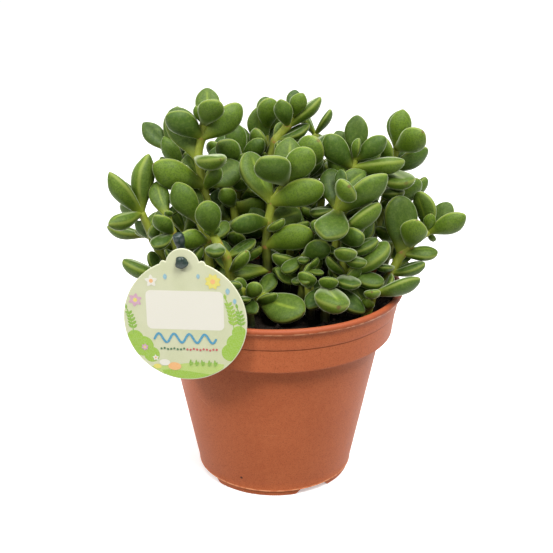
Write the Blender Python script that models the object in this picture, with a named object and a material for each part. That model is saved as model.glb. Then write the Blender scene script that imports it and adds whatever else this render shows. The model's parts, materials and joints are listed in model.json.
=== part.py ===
"""Potted crassula: a bushy succulent in a 12 cm terracotta-coloured nursery pot, with a tag on a stake.

The frame has +Z up and its origin on the pot's axis, on the ground. The round card tag faces -Y. Blender
works in metres, and every named size below is in millimetres. The plant is a clump of rooted shoots. Each
shoot is one body: its stem and the leaves that grew on it. A table gives where each stem bends and which way
each leaf points, and a short relaxation then turns leaves that would touch a neighbour.
"""

import math

import bpy
import numpy as np

MM = 0.001
GAP = 0.3  # between neighbouring solids

# Pot, turned about +Z
LIP_RADIUS = 60.0
POT_HEIGHT = 93.5
BAND_BOTTOM = 72.0
BAND_BOTTOM_RADIUS = 55.4
BAND_TOP_RADIUS = 58.0
BODY_TOP_RADIUS = 50.4
BODY_BOTTOM_RADIUS = 37.0
FOOT_RADIUS = 36.4
FOOT_HEIGHT = 3.0
FOOT_WIDTH = 2.8
WALL = 1.4
POT_SIDES = 48
FOOT_GAP_WIDTH = 15.0
FOOT_GAP_FIRST = -60.0  # degrees from +X
DRAIN_RADIUS = 3.5
DRAIN_CIRCLE = 23.0

# Potting mix
SOIL_TOP = 86.0

# Round card tag with an ear, hung on the stake's peg
TAG_CENTRE = (-37.0, -56.2, 96.7)
TAG_RADIUS = 26.0
TAG_THICKNESS = 0.8
TAG_YAW = 8.0
TAG_LEAN = 3.0
TAG_TURN = -1.5
EAR_RADIUS = 7.0
EAR_CENTRE = 23.8
EAR_FILLET = 2.2
HOLE_CENTRE = 25.2
HOLE_RADIUS = 2.3

# Green plastic stake with its peg
STAKE_TIP = (-25.6, -28.0, 50.0)
STAKE_TOP = (-40.0, -46.0, 131.0)
STAKE_RADIUS = 2.6
PEG_RADIUS = 1.3
HEAD_RADIUS = 3.0
HEAD_THICKNESS = 2.2

# Plant
STEM_FOOT_RADIUS = 2.3
STEM_TIP_RADIUS = 1.8
LEAF_WIDTH = 0.58  # of a leaf's length
LEAF_THICKNESS = 0.34
UPPER_SHARE = 0.36  # of the thickness that lies above the margin
LEAF_CLEARANCE = 0.5
RELAX_STEPS = 80

# Each shoot: the points of its stem, root first, then its leaves. A leaf is (stem point, heading, rise,
# length, roll). Heading runs from +X towards +Y and rise from the horizontal, both in degrees.
SHOOTS = {
    "left_tall": (
        ((-22, -3, 80), (-32, -6, 142), (-34, -6, 154), (-32, -6, 163), (-31, -6, 169)),
        ((1, -160, 20, 24, 60), (1, 50, 15, 23, 50), (2, -60, 5, 22), (2, 145, 55, 24, -40),
         (3, -155, 35, 19, 60), (3, 10, 35, 22, -60), (4, -65, 45, 18, -30),
         (4, 85, 45, 18, 10), (4, -120, 60, 9)),
    ),
    "left_back": (
        ((-28, 14, 80), (-43, 18, 142), (-49, 18, 152)),
        ((2, 125, 45, 18, -30), (2, 100, 35, 12), (1, -150, 65, 18, 60), (1, -65, 45, 12),
         (2, 55, 55, 20, 40), (1, -45, -5, 16)),
    ),
    "far_left": (
        ((-38, -12, 80), (-54, -14, 118), (-59, -14, 131)),
        ((2, -165, 65, 23, 20), (2, 105, 75, 25, 60), (2, 150, 50, 19, -35),
         (2, 125, -5, 19, -60), (2, -125, -5, 20), (1, 130, 20, 15, -40)),
    ),
    "left_mid": (
        ((-33, -20, 80), (-45, -20, 123), (-47, -20, 131)),
        ((2, 110, 45, 17), (1, -145, 55, 15, 60), (2, -80, 25, 7), (1, -115, -5, 15),
         (2, 65, 25, 9)),
    ),
    "left_inner": (
        ((-27, -26, 80), (-30, -18, 119), (-33, -18, 128)),
        ((2, -165, 60, 20, 60), (1, -130, 20, 17, 60),
         (2, 115, 35, 20, -20), (1, 65, 15, 15)),
    ),
    "left_front": (
        ((-16, -24, 80), (-21, -22, 113), (-25, -22, 119), (-27, -22, 123)),
        ((3, -115, 65, 18, 30), (2, -95, 0, 15), (3, -110, 35, 6), (3, -55, 25, 6),
         (1, 30, 20, 15)),
    ),
    "centre_front": (
        ((-4, -7, 80), (-3, -10, 103), (-4, -12, 115), (-3, -12, 126), (-1, -12, 135), (5, -12, 144)),
        ((1, -170, 10, 25), (2, -15, 15, 23, -60), (3, -145, 5, 19, 60),
         (3, 50, -10, 21, 60), (4, 140, 55, 25), (4, -10, 20, 24, -60), (5, -115, 45, 24, 30),
         (5, -50, 55, 20, -50), (5, 80, 45, 20, 10), (5, 110, 35, 10),
         (2, 145, -45, 14)),
    ),
    "front_tag": (
        ((-10, -34, 80), (-12, -32, 98), (-15, -34, 103)),
        ((1, -75, 35, 12, -40), (2, -110, 30, 11), (1, -85, 0, 9), (1, -85, -35, 11)),
    ),
    "back_left": (
        ((-12, 12, 80), (-17, 18, 133), (-16, 20, 147)),
        ((2, -105, 75, 17, 20), (2, 85, 55, 17, 10), (2, -25, 65, 15, -60), (1, -75, 20, 14),
         (1, 150, -5, 18), (2, -125, 45, 19, 50), (2, 155, 10, 16, -60), (1, -45, -10, 15)),
    ),
    "back_centre": (
        ((-5, 22, 80), (-6, 27, 143), (-5, 28, 151), (-4, 30, 160)),
        ((3, 125, 60, 17, -30), (3, -45, 75, 17, -40), (3, 20, 65, 16, 60),
         (2, 160, 65, 19, -60), (2, 80, 65, 18), (1, -20, 60, 20), (1, -80, 70, 10),
         (1, 160, 60, 17, -60), (2, 40, 15, 13, 60)),
    ),
    "centre_top": (
        ((-5, 6, 80), (-1, 10, 151), (0, 10, 158), (6, 10, 165), (8, 10, 169)),
        ((3, -80, 70, 15, -10), (4, 50, 50, 13, 40), (4, -55, 50, 13, -40), (3, 5, 45, 19, -10),
         (3, 50, -10, 8), (2, 5, 25, 17, -10), (2, 30, 25, 12, 60)),
    ),
    "centre_right_top": (
        ((9, 4, 80), (10, 8, 140), (10, 8, 147)),
        ((2, -55, 40, 22, -50), (2, 145, 65, 15, 20), (2, 55, 60, 15, 30), (1, 10, 40, 16, -20),
         (1, -80, 30, 14), (2, 20, 45, 21, -20), (1, -140, 35, 13)),
    ),
    "right_upper": (
        ((26, 1, 80), (34, 2, 139), (35, 0, 148), (36, 0, 152)),
        ((2, -155, 65, 20, 60), (2, 0, 35, 23, -30), (3, -35, 60, 17, -60), (3, 20, 70, 19, 60),
         (2, 40, 50, 21, 40), (3, 60, 50, 11, 20), (2, 100, 60, 18, -10),
         (3, -125, 60, 11, -50), (1, -160, 55, 17, 60), (1, 165, 45, 18, 20),
         (1, 10, 30, 16, -60), (1, -50, 55, 10)),
    ),
    "right_centre": (
        ((23, -14, 80), (28, -14, 120), (28, -14, 132), (29, -14, 140)),
        ((2, 0, 30, 26, -40), (2, 85, 50, 20), (3, -80, 20, 18, -60), (2, -95, -20, 24),
         (3, 35, 25, 15, 50), (1, 5, 30, 24, -20), (1, -50, 25, 17, -60), (1, 15, 0, 18, -60),
         (2, 150, -10, 14), (3, 65, 60, 10)),
    ),
    "right_low": (
        ((30, -24, 80), (31, -20, 104), (30, -20, 113)),
        ((2, -85, 20, 17), (2, -40, 0, 13), (1, -145, 45, 14), (2, 130, 20, 10),
         (1, -75, -5, 17), (1, -15, -5, 18), (2, 15, 20, 17), (1, 0, 25, 24), (2, 85, 35, 9)),
    ),
    "centre_mid": (
        ((12, -14, 80), (13, -16, 102), (13, -16, 111)),
        ((2, -25, 35, 17, -60), (2, -125, -15, 13), (1, -95, 0, 10), (1, -40, -30, 14),
         (2, -90, -5, 9), (2, 25, 55, 13)),
    ),
    "centre_small": (
        ((16, -27, 80), (15, -24, 108)),
        ((1, -45, 45, 8), (1, -40, -5, 8), (1, -100, -20, 11)),
    ),
    "front_right": (
        ((22, -30, 80), (23, -26, 101)),
        ((1, -85, -5, 14), (1, -125, -25, 15), (1, -80, -20, 24), (1, -35, -25, 20)),
    ),
    "right_out": (
        ((40, -10, 80), (53, -10, 101), (58, -8, 110), (61, -6, 113), (71, 0, 118)),
        ((2, 100, 70, 26), (2, -25, -5, 24, -10), (3, -85, 50, 20, -20), (1, 5, 25, 24, 10),
         (1, 35, 15, 13, 50), (1, -105, -20, 12, 60), (4, 35, 70, 19),
         (4, 20, 50, 16, 50), (4, -20, 40, 19, -60), (4, -75, 65, 10, -30), (4, 35, 40, 10, 40),
         (4, 45, -60, 7), (3, 75, 45, 14, 10)),
    ),
    "back_right": (
        ((38, 14, 80), (52, 18, 125), (54, 18, 143), (57, 18, 153)),
        ((2, -80, -5, 24), (2, 10, 25, 20, -60), (3, 70, 65, 18, 10), (3, -65, 65, 18, -40),
         (3, -55, 45, 20, -60), (1, 0, 35, 21, -60), (1, -75, 25, 12), (2, -140, 25, 14),
         (2, 110, 40, 14)),
    ),
    "left_low": (
        ((-36, -27, 80), (-49, -20, 103)),
        ((1, -155, 25, 21, 10), (1, 150, 60, 13), (1, -5, 35, 12)),
    ),
    "mid_back": (
        ((-15, 0, 80), (-18, 4, 121), (-19, 4, 129)),
        ((2, -115, 45, 14, 40), (2, 65, -10, 23, -60), (1, 130, 15, 19), (1, 60, -5, 18),
         (2, 90, 10, 18)),
    ),
    "front_low": (
        ((-9, -19, 80), (-7, -24, 95)),
        ((1, -35, -8, 25, 40), (1, -140, 25, 12), (1, 60, 30, 14)),
    ),
    "right_rim": (
        ((39, -25, 80), (44, -25, 97)),
        ((1, -5, 15, 21, -20), (1, -100, 20, 12), (1, 110, 30, 15)),
    ),
    "sprawling": (
        ((-37, 20, 80), (-40, 25, 96), (-54, 36, 101), (-66, 43, 103)),
        ((3, 180, 10, 19), (3, 60, 35, 15), (3, -60, 35, 14), (2, 140, 40, 17), (2, -40, 30, 15),
         (1, 100, 20, 16)),
    ),
}

# Shoots inside and at the back: root, top, leaf pairs, heading of the first pair, leaf length.
INNER_SHOOTS = {
    "back_1": ((-30, 22, 80), (-44, 28, 148), 4, 20, 20),
    "back_2": ((-22, 34, 80), (-28, 44, 140), 3, 70, 19),
    "back_3": ((-4, 38, 80), (-6, 48, 150), 4, 10, 19),
    "back_4": ((14, 36, 80), (20, 46, 154), 4, 75, 19),
    "back_5": ((30, 26, 80), (44, 38, 138), 4, 10, 18),
    "back_6": ((46, 8, 80), (64, 24, 126), 2, 60, 19),
    "back_7": ((8, 20, 80), (13, 27, 144), 3, 40, 18),
    "back_8": ((30, 34, 80), (44, 47, 118), 2, 0, 18),
    "back_9": ((-32, 32, 80), (-45, 46, 116), 2, 0, 18),
    "back_10": ((4, 46, 80), (8, 52, 110), 2, 0, 16),
    "inner_1": ((-23, 7, 80), (-29, 4, 124), 3, 60, 17),
    "inner_2": ((4, -4, 80), (8, -4, 118), 2, 10, 17),
    "inner_3": ((0, 13, 80), (2, 16, 126), 3, 20, 17),
    "inner_4": ((17, 12, 80), (22, 12, 130), 3, 50, 17),
    "inner_5": ((30, 10, 80), (38, 4, 120), 2, 80, 17),
    "inner_6": ((-32, 6, 80), (-42, 4, 116), 2, 70, 17),
    "inner_7": ((24, 22, 80), (30, 26, 116), 2, 0, 17),
    "inner_8": ((-14, 26, 80), (-18, 30, 118), 2, 45, 17),
}


def clear_scene():
    for old in list(bpy.data.objects):
        bpy.data.objects.remove(old, do_unlink=True)
    for old in list(bpy.data.meshes):
        bpy.data.meshes.remove(old)


def plastic(name, colour, roughness):
    material = bpy.data.materials.new(name)
    material.use_nodes = True
    shader = material.node_tree.nodes["Principled BSDF"]
    shader.inputs["Base Color"].default_value = (*colour, 1.0)
    shader.inputs["Roughness"].default_value = roughness
    shader.inputs["Metallic"].default_value = 0.0
    material.diffuse_color = (*colour, 1.0)
    return material


def make_object(name, points, faces, material=None, smooth=None):
    """A mesh object from points in millimetres. Without a material it is a helper, left out of the part."""
    mesh = bpy.data.meshes.new(name)
    mesh.from_pydata([tuple(MM * float(c) for c in p) for p in points], [], faces)
    mesh.validate()
    mesh.update()
    body = bpy.data.objects.new(name, mesh)
    bpy.context.scene.collection.objects.link(body)
    if material is None:
        body.hide_render = True
        body.display_type = "WIRE"
        return body
    mesh.materials.append(material)
    if smooth is not None:
        mesh.shade_smooth()
        mesh.set_sharp_from_angle(angle=math.radians(smooth))
    return body


def combine(body, helper, operation):
    modifier = body.modifiers.new(operation.title(), "BOOLEAN")
    modifier.operation = operation
    modifier.solver = "EXACT"
    modifier.use_self = True
    modifier.object = helper


def join_rings(rings, first=None, last=None):
    """Points and faces of a closed skin over rings of equal size. A point or a flat face closes an end."""
    points = [tuple(p) for ring in rings for p in ring]
    size = len(rings[0])
    faces = []
    for k in range(len(rings) - 1):
        for i in range(size):
            j = (i + 1) % size
            faces.append((k * size + i, k * size + j, (k + 1) * size + j, (k + 1) * size + i))
    top = (len(rings) - 1) * size
    if first is None:
        faces.append(tuple(reversed(range(size))))
    else:
        points.append(tuple(first))
        faces += [((i + 1) % size, i, len(points) - 1) for i in range(size)]
    if last is None:
        faces.append(tuple(top + i for i in range(size)))
    else:
        points.append(tuple(last))
        faces += [(top + i, top + (i + 1) % size, len(points) - 1) for i in range(size)]
    return points, faces


def merge(shapes):
    points, faces = [], []
    for more_points, more_faces in shapes:
        faces += [tuple(i + len(points) for i in face) for face in more_faces]
        points += list(more_points)
    return points, faces


def turned(profile, sides):
    """A solid turned about +Z. The profile runs from the axis, up the outside, and back to the axis."""
    rings = []
    for radius, z in profile[1:-1]:
        angles = [2.0 * math.pi * i / sides for i in range(sides)]
        rings.append([(radius * math.cos(a), radius * math.sin(a), z) for a in angles])
    return join_rings(rings, (0.0, 0.0, profile[0][1]), (0.0, 0.0, profile[-1][1]))


def box(centre, size, heading):
    c, s = math.cos(math.radians(heading)), math.sin(math.radians(heading))
    corners = [(-1, -1), (1, -1), (1, 1), (-1, 1)]
    rings = []
    for up in (-1, 1):
        ring = []
        for i, j in corners:
            x, y = 0.5 * i * size[0], 0.5 * j * size[1]
            z = centre[2] + 0.5 * up * size[2]
            ring.append((centre[0] + c * x - s * y, centre[1] + s * x + c * y, z))
        rings.append(ring)
    return join_rings(rings)


def unit(v):
    v = np.asarray(v, float)
    return v / np.linalg.norm(v)


def tube(points, radii, sides):
    """A tube through points, with flat ends square to it."""
    points = np.asarray(points, float)
    rings = []
    reference = np.array((0.0, 1.0, 0.0))
    for k, point in enumerate(points):
        before = points[max(k - 1, 0)]
        after = points[min(k + 1, len(points) - 1)]
        along = unit(after - before)
        across = unit(np.cross(reference, along))
        other = np.cross(along, across)
        ring = []
        for i in range(sides):
            a = 2.0 * math.pi * i / sides
            ring.append(point + radii[k] * (math.cos(a) * across + math.sin(a) * other))
        rings.append(ring)
    return join_rings(rings)


# The plant's layout


def paired_shoot(root, top, pairs, first, size):
    """Opposite leaves in crossed pairs up a straight stem, flatter low down and steeper near the top."""
    root, top = np.array(root, float), np.array(top, float)
    stem, leaves = [tuple(root)], []
    for k in range(pairs):
        share = (k + 1) / pairs
        stem.append(tuple(root + (top - root) * (0.3 + 0.7 * share)))
        for turn in (0, 180):
            leaves.append((k + 1, first + 90 * k + turn, 10 + 50 * share**2, size * (1 - 0.25 * share**2)))
    return tuple(stem), tuple(leaves)


def leaf_frame(heading, rise, roll=0.0):
    """Rows: along the leaf, across it, and out of its upper face."""
    h, r, q = map(math.radians, (heading, rise, roll))
    along = np.array((math.cos(r) * math.cos(h), math.cos(r) * math.sin(h), math.sin(r)))
    face = np.array((-math.sin(r) * math.cos(h), -math.sin(r) * math.sin(h), math.cos(r)))
    side = np.cross(face, along)
    turned_side = math.cos(q) * side + math.sin(q) * face
    turned_face = math.cos(q) * face - math.sin(q) * side
    return np.array((along, turned_side, turned_face))


def tag_frame():
    """Rows: to the tag's right, up it, and out of its printed face."""
    yaw, lean, turn = map(math.radians, (TAG_YAW, TAG_LEAN, TAG_TURN))
    normal = unit((-math.sin(yaw), -math.cos(yaw), math.tan(lean)))
    level = unit(np.cross((0.0, 0.0, 1.0), normal))
    upright = np.cross(normal, level)
    right = math.cos(turn) * level - math.sin(turn) * upright
    up = math.cos(turn) * upright + math.sin(turn) * level
    return np.array((right, up, normal))


def sphere_points(count):
    i = np.arange(count) + 0.5
    z = 1 - 2 * i / count
    a = math.pi * (1 + math.sqrt(5)) * i
    r = np.sqrt(1 - z * z)
    return np.stack((z, r * np.cos(a), r * np.sin(a)), axis=1)


class Foliage:
    """Every leaf of the plant as an ellipsoid on its stem, in millimetres."""

    def __init__(self, shoots):
        self.shoots = shoots
        base, frames, length, owner, starts, ends, stem_owner = [], [], [], [], [], [], []
        for number, (stem, leaves) in enumerate(shoots.values()):
            stem = np.array(stem, float)
            for index, heading, rise, size, *roll in leaves:
                base.append(stem[index])
                frames.append(leaf_frame(heading, rise, *roll))
                length.append(size)
                owner.append(number)
            for a, b in zip(stem[:-1], stem[1:]):
                starts.append(a)
                ends.append(b)
                stem_owner.append(number)
        starts.append(np.array(STAKE_TIP))
        ends.append(np.array(STAKE_TOP))
        stem_owner.append(-1)
        self.base, self.frames = np.array(base), np.array(frames)
        self.length, self.owner = np.array(length, float), np.array(owner)
        self.starts, self.ends = np.array(starts), np.array(ends)
        self.stem_owner = np.array(stem_owner)

    def solids(self):
        width, thickness = LEAF_WIDTH * self.length, LEAF_THICKNESS * self.length
        half = np.stack((0.47 * self.length, 0.5 * width, 0.5 * thickness), 1)
        drop = (0.5 - UPPER_SHARE) * thickness
        centre = self.base + 0.53 * self.length[:, None] * self.frames[:, 0]
        centre = centre - drop[:, None] * self.frames[:, 2]
        return centre, half

    def push_from_leaves(self, points, centre, half, free):
        """How far each leaf turns away from the others, and how deep its deepest touch is."""
        count = len(self.base)
        turn, worst = np.zeros((count, 3)), np.zeros(count)
        apart = np.linalg.norm(centre[:, None] - centre[None], axis=2)
        i, j = np.nonzero(apart < 0.5 * (self.length[:, None] + self.length[None]) + 4.0)
        i, j = i[i != j], j[i != j]
        local = np.einsum("pkx,pjx->pkj", points[i] - centre[j][:, None], self.frames[j])
        size = half[j][:, None] + LEAF_CLEARANCE
        scaled = local / size
        reach = np.linalg.norm(scaled, axis=2)
        slope = scaled / size
        steep = np.maximum(np.linalg.norm(slope, axis=2), 1e-6)
        depth = np.where(reach < 1, (1 - reach) * reach / steep, 0.0)
        from_base = np.linalg.norm(points[i] - self.base[j][:, None], axis=2)
        near_other = from_base < 0.42 * self.length[j][:, None]
        siblings = (self.owner[i] == self.owner[j])[:, None]
        depth = np.where(siblings & (near_other | ~free[i]), 0.0, depth)
        outward = np.einsum("pkj,pjx->pkx", slope / steep[..., None], self.frames[j])
        push = outward * np.minimum(depth, 2.0)[..., None]
        touches = (depth > 0).sum(1)
        hit = touches > 0
        for who, sign in ((i, 1.0), (j, -1.0)):
            lever = points[i] - self.base[who][:, None]
            twist = sign * np.cross(lever, push) / np.maximum((lever**2).sum(2), 9.0)[..., None]
            np.add.at(turn, who[hit], 0.5 * (twist.sum(1) / np.maximum(touches, 1)[:, None])[hit])
            np.maximum.at(worst, who[hit], depth.max(1)[hit])
        return turn, worst

    def push_from_rest(self, points, free):
        """The same for the stems, the stake, the pot's rim, the soil and the tag."""
        flat = points.reshape(-1, 3)
        run = self.ends - self.starts
        share = np.clip(((flat[:, None] - self.starts) * run).sum(2) / (run * run).sum(1), 0, 1)
        away = flat[:, None] - self.starts - share[..., None] * run
        distance = np.maximum(np.linalg.norm(away, axis=2), 1e-6)
        reach = np.where(self.stem_owner < 0, STAKE_RADIUS, STEM_FOOT_RADIUS) + LEAF_CLEARANCE
        depth = np.maximum(reach - distance, 0)
        own = np.repeat(self.owner, points.shape[1])[:, None] == self.stem_owner
        depth = np.where(own & ~free.reshape(-1)[:, None], 0, depth)
        force = (away / distance[..., None] * np.minimum(depth, 2.0)[..., None]).sum(1).reshape(points.shape)
        touches = (depth > 0).sum(1).reshape(points.shape[:2]).sum(1)
        deepest = depth.max(1).reshape(points.shape[:2]).max(1)

        radius, z = np.hypot(points[..., 0], points[..., 1]), points[..., 2]
        over_rim = (radius > BODY_TOP_RADIUS + 2) & (radius < LIP_RADIUS + 2)
        floor = np.where(over_rim, POT_HEIGHT + 1.5, np.where(radius <= LIP_RADIUS, SOIL_TOP + 1.0, 0.0))
        lift = np.clip(floor - z, 0, 2)

        right, up, normal = tag_frame()
        offset = points - np.array(TAG_CENTRE)
        level = offset @ normal
        spread = np.linalg.norm(offset - level[..., None] * normal, axis=2)
        inside = (spread < TAG_RADIUS + 1) & (level > -2.0) & (level < 6)
        back = np.where(inside, np.minimum(level + 2.0, 2.0), 0.0)

        force[..., 2] += lift
        force -= back[..., None] * normal
        touches = touches + (lift > 0).sum(1) + (back > 0).sum(1)
        lever = points - self.base[:, None]
        twist = np.cross(lever, force) / np.maximum((lever**2).sum(2), 9.0)[..., None]
        worst = np.maximum(deepest, np.maximum(lift.max(1), back.max(1)))
        return twist.sum(1) / np.maximum(touches, 1)[:, None], worst

    def relax(self):
        """Turns leaves about their bases until they clear their neighbours, and shortens those that can't."""
        probes = sphere_points(32)
        for step in range(RELAX_STEPS):
            centre, half = self.solids()
            points = centre[:, None] + np.einsum("nkx,nxj->nkj", probes[None] * half[:, None], self.frames)
            free = np.linalg.norm(points - self.base[:, None], axis=2) >= 0.42 * self.length[:, None]
            turn, worst = self.push_from_leaves(points, centre, half, free)
            more, worst_rest = self.push_from_rest(points, free)
            turn += more
            angle = np.linalg.norm(turn, axis=1)
            for k in np.nonzero(angle > 1e-5)[0]:
                step_angle = min(angle[k], 0.08)
                axis = turn[k] / angle[k]
                rows = self.frames[k]
                swung = np.cross(axis, rows) * math.sin(step_angle)
                swept = np.outer(rows @ axis, axis) * (1 - math.cos(step_angle))
                self.frames[k] = rows * math.cos(step_angle) + swung + swept
            if step > RELAX_STEPS // 2:
                self.length = np.where(np.maximum(worst, worst_rest) > 0.4, 0.985 * self.length, self.length)
        return np.maximum(worst, worst_rest)


def leaf_width(t):
    """Half width along an obovate leaf as a share of its greatest, from its neck at 0 to its tip at 1."""
    if t < 0.62:
        return 0.34 + 0.66 * math.sin(0.5 * math.pi * t / 0.62) ** 1.4
    return math.sqrt(max(0.0, 1 - ((t - 0.62) / 0.38) ** 2.1))


def leaf_solid(base, frame, length):
    """A plain leaf: four-cornered sections, with a flatter upper face and a keeled lower one."""
    along, side, face = frame
    shares = (0.0, 0.3, 0.62, 0.87) if length > 19 else (0.0, 0.45, 0.8)
    rings = []
    for t in shares:
        width = 0.5 * LEAF_WIDTH * length * leaf_width(t)
        thick = LEAF_THICKNESS * length * leaf_width(t) ** 0.8
        middle = base + t * length * along
        corners = (
            middle + width * side,
            middle + UPPER_SHARE * thick * face,
            middle - width * side,
            middle - (1 - UPPER_SHARE) * thick * face,
        )
        rings.append(corners)
    return join_rings(rings, None, base + length * along)


# The solids


def pot_wall(z):
    """Inner radius of the pot at a height, above its floor."""
    if z < BAND_BOTTOM + WALL:
        share = (z - FOOT_HEIGHT) / (BAND_BOTTOM - FOOT_HEIGHT)
        return BODY_BOTTOM_RADIUS - WALL + share * (BODY_TOP_RADIUS - BODY_BOTTOM_RADIUS)
    share = (z - BAND_BOTTOM) / (POT_HEIGHT - 2.5 - BAND_BOTTOM)
    return BAND_BOTTOM_RADIUS - WALL + share * (BAND_TOP_RADIUS - BAND_BOTTOM_RADIUS)


def make_pot(material):
    ledge = BAND_BOTTOM + WALL
    floor = FOOT_HEIGHT + WALL
    profile = [
        (0.0, FOOT_HEIGHT),
        (FOOT_RADIUS - FOOT_WIDTH, FOOT_HEIGHT),
        (FOOT_RADIUS - FOOT_WIDTH, 0.0),
        (FOOT_RADIUS, 0.0),
        (FOOT_RADIUS + 0.2, FOOT_HEIGHT - 0.4),
        (BODY_BOTTOM_RADIUS + 0.3, FOOT_HEIGHT + 0.6),
        (BODY_TOP_RADIUS, BAND_BOTTOM),
        (BAND_BOTTOM_RADIUS, BAND_BOTTOM),
        (BAND_TOP_RADIUS, POT_HEIGHT - 2.5),
        (LIP_RADIUS - 0.5, POT_HEIGHT - 2.3),
        (LIP_RADIUS, POT_HEIGHT - 1.3),
        (LIP_RADIUS - 0.6, POT_HEIGHT - 0.2),
        (LIP_RADIUS - 1.4, POT_HEIGHT),
        (LIP_RADIUS - 2.6, POT_HEIGHT - 0.8),
        (pot_wall(POT_HEIGHT - 2.6), POT_HEIGHT - 2.6),
        (pot_wall(ledge + 0.01), ledge),
        (pot_wall(ledge - 0.01), ledge),
        (pot_wall(floor), floor),
        (0.0, floor),
    ]
    pot = make_object("pot", *turned(profile, POT_SIDES), material, 35)
    cutters = []
    for quarter in range(4):
        heading = FOOT_GAP_FIRST + 90.0 * quarter
        a = math.radians(heading)
        where = (FOOT_RADIUS * math.cos(a), FOOT_RADIUS * math.sin(a), 0.5 * FOOT_HEIGHT - 0.7)
        cutters.append(box(where, (3.0 * FOOT_WIDTH, FOOT_GAP_WIDTH, FOOT_HEIGHT + 0.8), heading))
        b = math.radians(heading + 45.0)
        x, y = DRAIN_CIRCLE * math.cos(b), DRAIN_CIRCLE * math.sin(b)
        hole = ((x, y, 1.0), (x, y, FOOT_HEIGHT + WALL + 2.0))
        cutters.append(tube(hole, (DRAIN_RADIUS, DRAIN_RADIUS), 12))
    combine(pot, make_object("pot_cutter", *merge(cutters)), "DIFFERENCE")
    return pot


def stake_line(share):
    return np.array(STAKE_TIP) + share * (np.array(STAKE_TOP) - np.array(STAKE_TIP))


def stake_radii(extra=0.0):
    """The stake is widest in the soil's top and pointed at its foot."""
    radii = ((0.0, 0.5), (0.12, STAKE_RADIUS), (0.8, STAKE_RADIUS), (1.0, 0.8 * STAKE_RADIUS))
    return [(share, radius + extra) for share, radius in radii]


def make_soil(material, shoots):
    floor = FOOT_HEIGHT + WALL + GAP
    ledge = BAND_BOTTOM + WALL
    profile = [
        (0.0, floor),
        (pot_wall(floor) - GAP - 0.1, floor),
        (pot_wall(ledge - 0.01) - GAP - 0.1, ledge + GAP),
        (pot_wall(ledge + 0.01) - GAP, ledge + GAP),
        (pot_wall(SOIL_TOP) - GAP, SOIL_TOP),
        (0.0, SOIL_TOP),
    ]
    soil = make_object("potting_soil", *turned(profile, 48), material, 35)
    sockets = []
    for stem, _ in shoots.values():
        root, above = np.array(stem[0], float), np.array(stem[1], float)
        along = unit(above - root)
        radius = STEM_FOOT_RADIUS + GAP + 0.05
        sockets.append(tube((root - GAP * along, root + 12.0 * along), (radius, radius), 6))
    rings = [(stake_line(share), radius) for share, radius in stake_radii(GAP + 0.1)]
    rings[0] = (stake_line(-0.01), rings[0][1])
    sockets.append(tube([p for p, _ in rings], [r for _, r in rings], 8))
    combine(soil, make_object("soil_sockets", *merge(sockets)), "DIFFERENCE")
    return soil


def ear_outline():
    """The tag's edge: a circle that runs through a small fillet into the ear's arc on each side."""
    fillet = EAR_FILLET
    far, near = TAG_RADIUS + fillet, EAR_RADIUS + fillet
    y = (far**2 - near**2 + EAR_CENTRE**2) / (2 * EAR_CENTRE)
    x = math.sqrt(far**2 - y**2)
    on_disc = math.atan2(y, x)
    on_ear = math.atan2(y - EAR_CENTRE, x)
    right = []
    for k in range(5):
        a = on_disc + math.pi - (on_disc + math.pi - (on_ear + math.pi)) * k / 4
        right.append((x + fillet * math.cos(a), y + fillet * math.sin(a)))
    ear = []
    for k in range(1, 12):
        a = on_ear + (math.pi - 2 * on_ear) * k / 12
        ear.append((EAR_RADIUS * math.cos(a), EAR_CENTRE + EAR_RADIUS * math.sin(a)))
    left = [(-px, py) for px, py in reversed(right)]
    disc = []
    sweep = 2 * math.pi - (math.pi - 2 * on_disc)
    for k in range(1, 48):
        a = math.pi - on_disc + sweep * k / 48
        disc.append((TAG_RADIUS * math.cos(a), TAG_RADIUS * math.sin(a)))
    return right + ear + left + disc


def on_tag(x, y, out):
    right, up, normal = tag_frame()
    return np.array(TAG_CENTRE) + x * right + y * up + out * normal


def make_tag(material):
    edge = ear_outline()
    rings = [[on_tag(x, y, side * 0.5 * TAG_THICKNESS) for x, y in edge] for side in (-1, 1)]
    tag = make_object("tag_card", *join_rings(rings), material)
    hole = [on_tag(0.0, HOLE_CENTRE, side * 2.0) for side in (-1, 1)]
    combine(tag, make_object("tag_hole", *tube(hole, (HOLE_RADIUS, HOLE_RADIUS), 12)), "DIFFERENCE")
    return tag


def make_stake(material):
    rings = stake_radii()
    body = tube([stake_line(share) for share, _ in rings], [radius for _, radius in rings], 8)
    stake = make_object("tag_stake", *body, material, 50)
    normal = tag_frame()[2]
    hole = on_tag(0.0, HOLE_CENTRE, 0.0)
    share = (hole[2] - STAKE_TIP[2]) / (STAKE_TOP[2] - STAKE_TIP[2])
    front = 0.5 * TAG_THICKNESS + GAP + 0.1
    peg = tube((stake_line(share), hole + (front + 0.5) * normal), (PEG_RADIUS, PEG_RADIUS), 8)
    steps = ((0.0, 0.9), (0.35, 1.0), (0.8, 0.8), (1.0, 0.4))
    centres = [hole + (front + s * HEAD_THICKNESS) * normal for s, _ in steps]
    head = tube(centres, [HEAD_RADIUS * r for _, r in steps], 10)
    combine(stake, make_object("stake_peg", *merge((peg, head))), "UNION")
    return stake


def make_shoot(name, stem, bodies, material):
    stem = np.array(stem, float)
    runs = np.linalg.norm(np.diff(stem, axis=0), axis=1)
    shares = np.concatenate(([0.0], np.cumsum(runs))) / runs.sum()
    radii = STEM_FOOT_RADIUS + (STEM_TIP_RADIUS - STEM_FOOT_RADIUS) * shares
    top = stem[-1] + 1.2 * unit(stem[-1] - stem[-2])
    points = list(stem[:-1]) + [top]
    shoot = make_object("shoot_" + name, *tube(points, radii, 6), material, 40)
    helper = make_object("leaves_" + name, *merge(bodies))
    combine(shoot, helper, "UNION")
    return shoot


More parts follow.
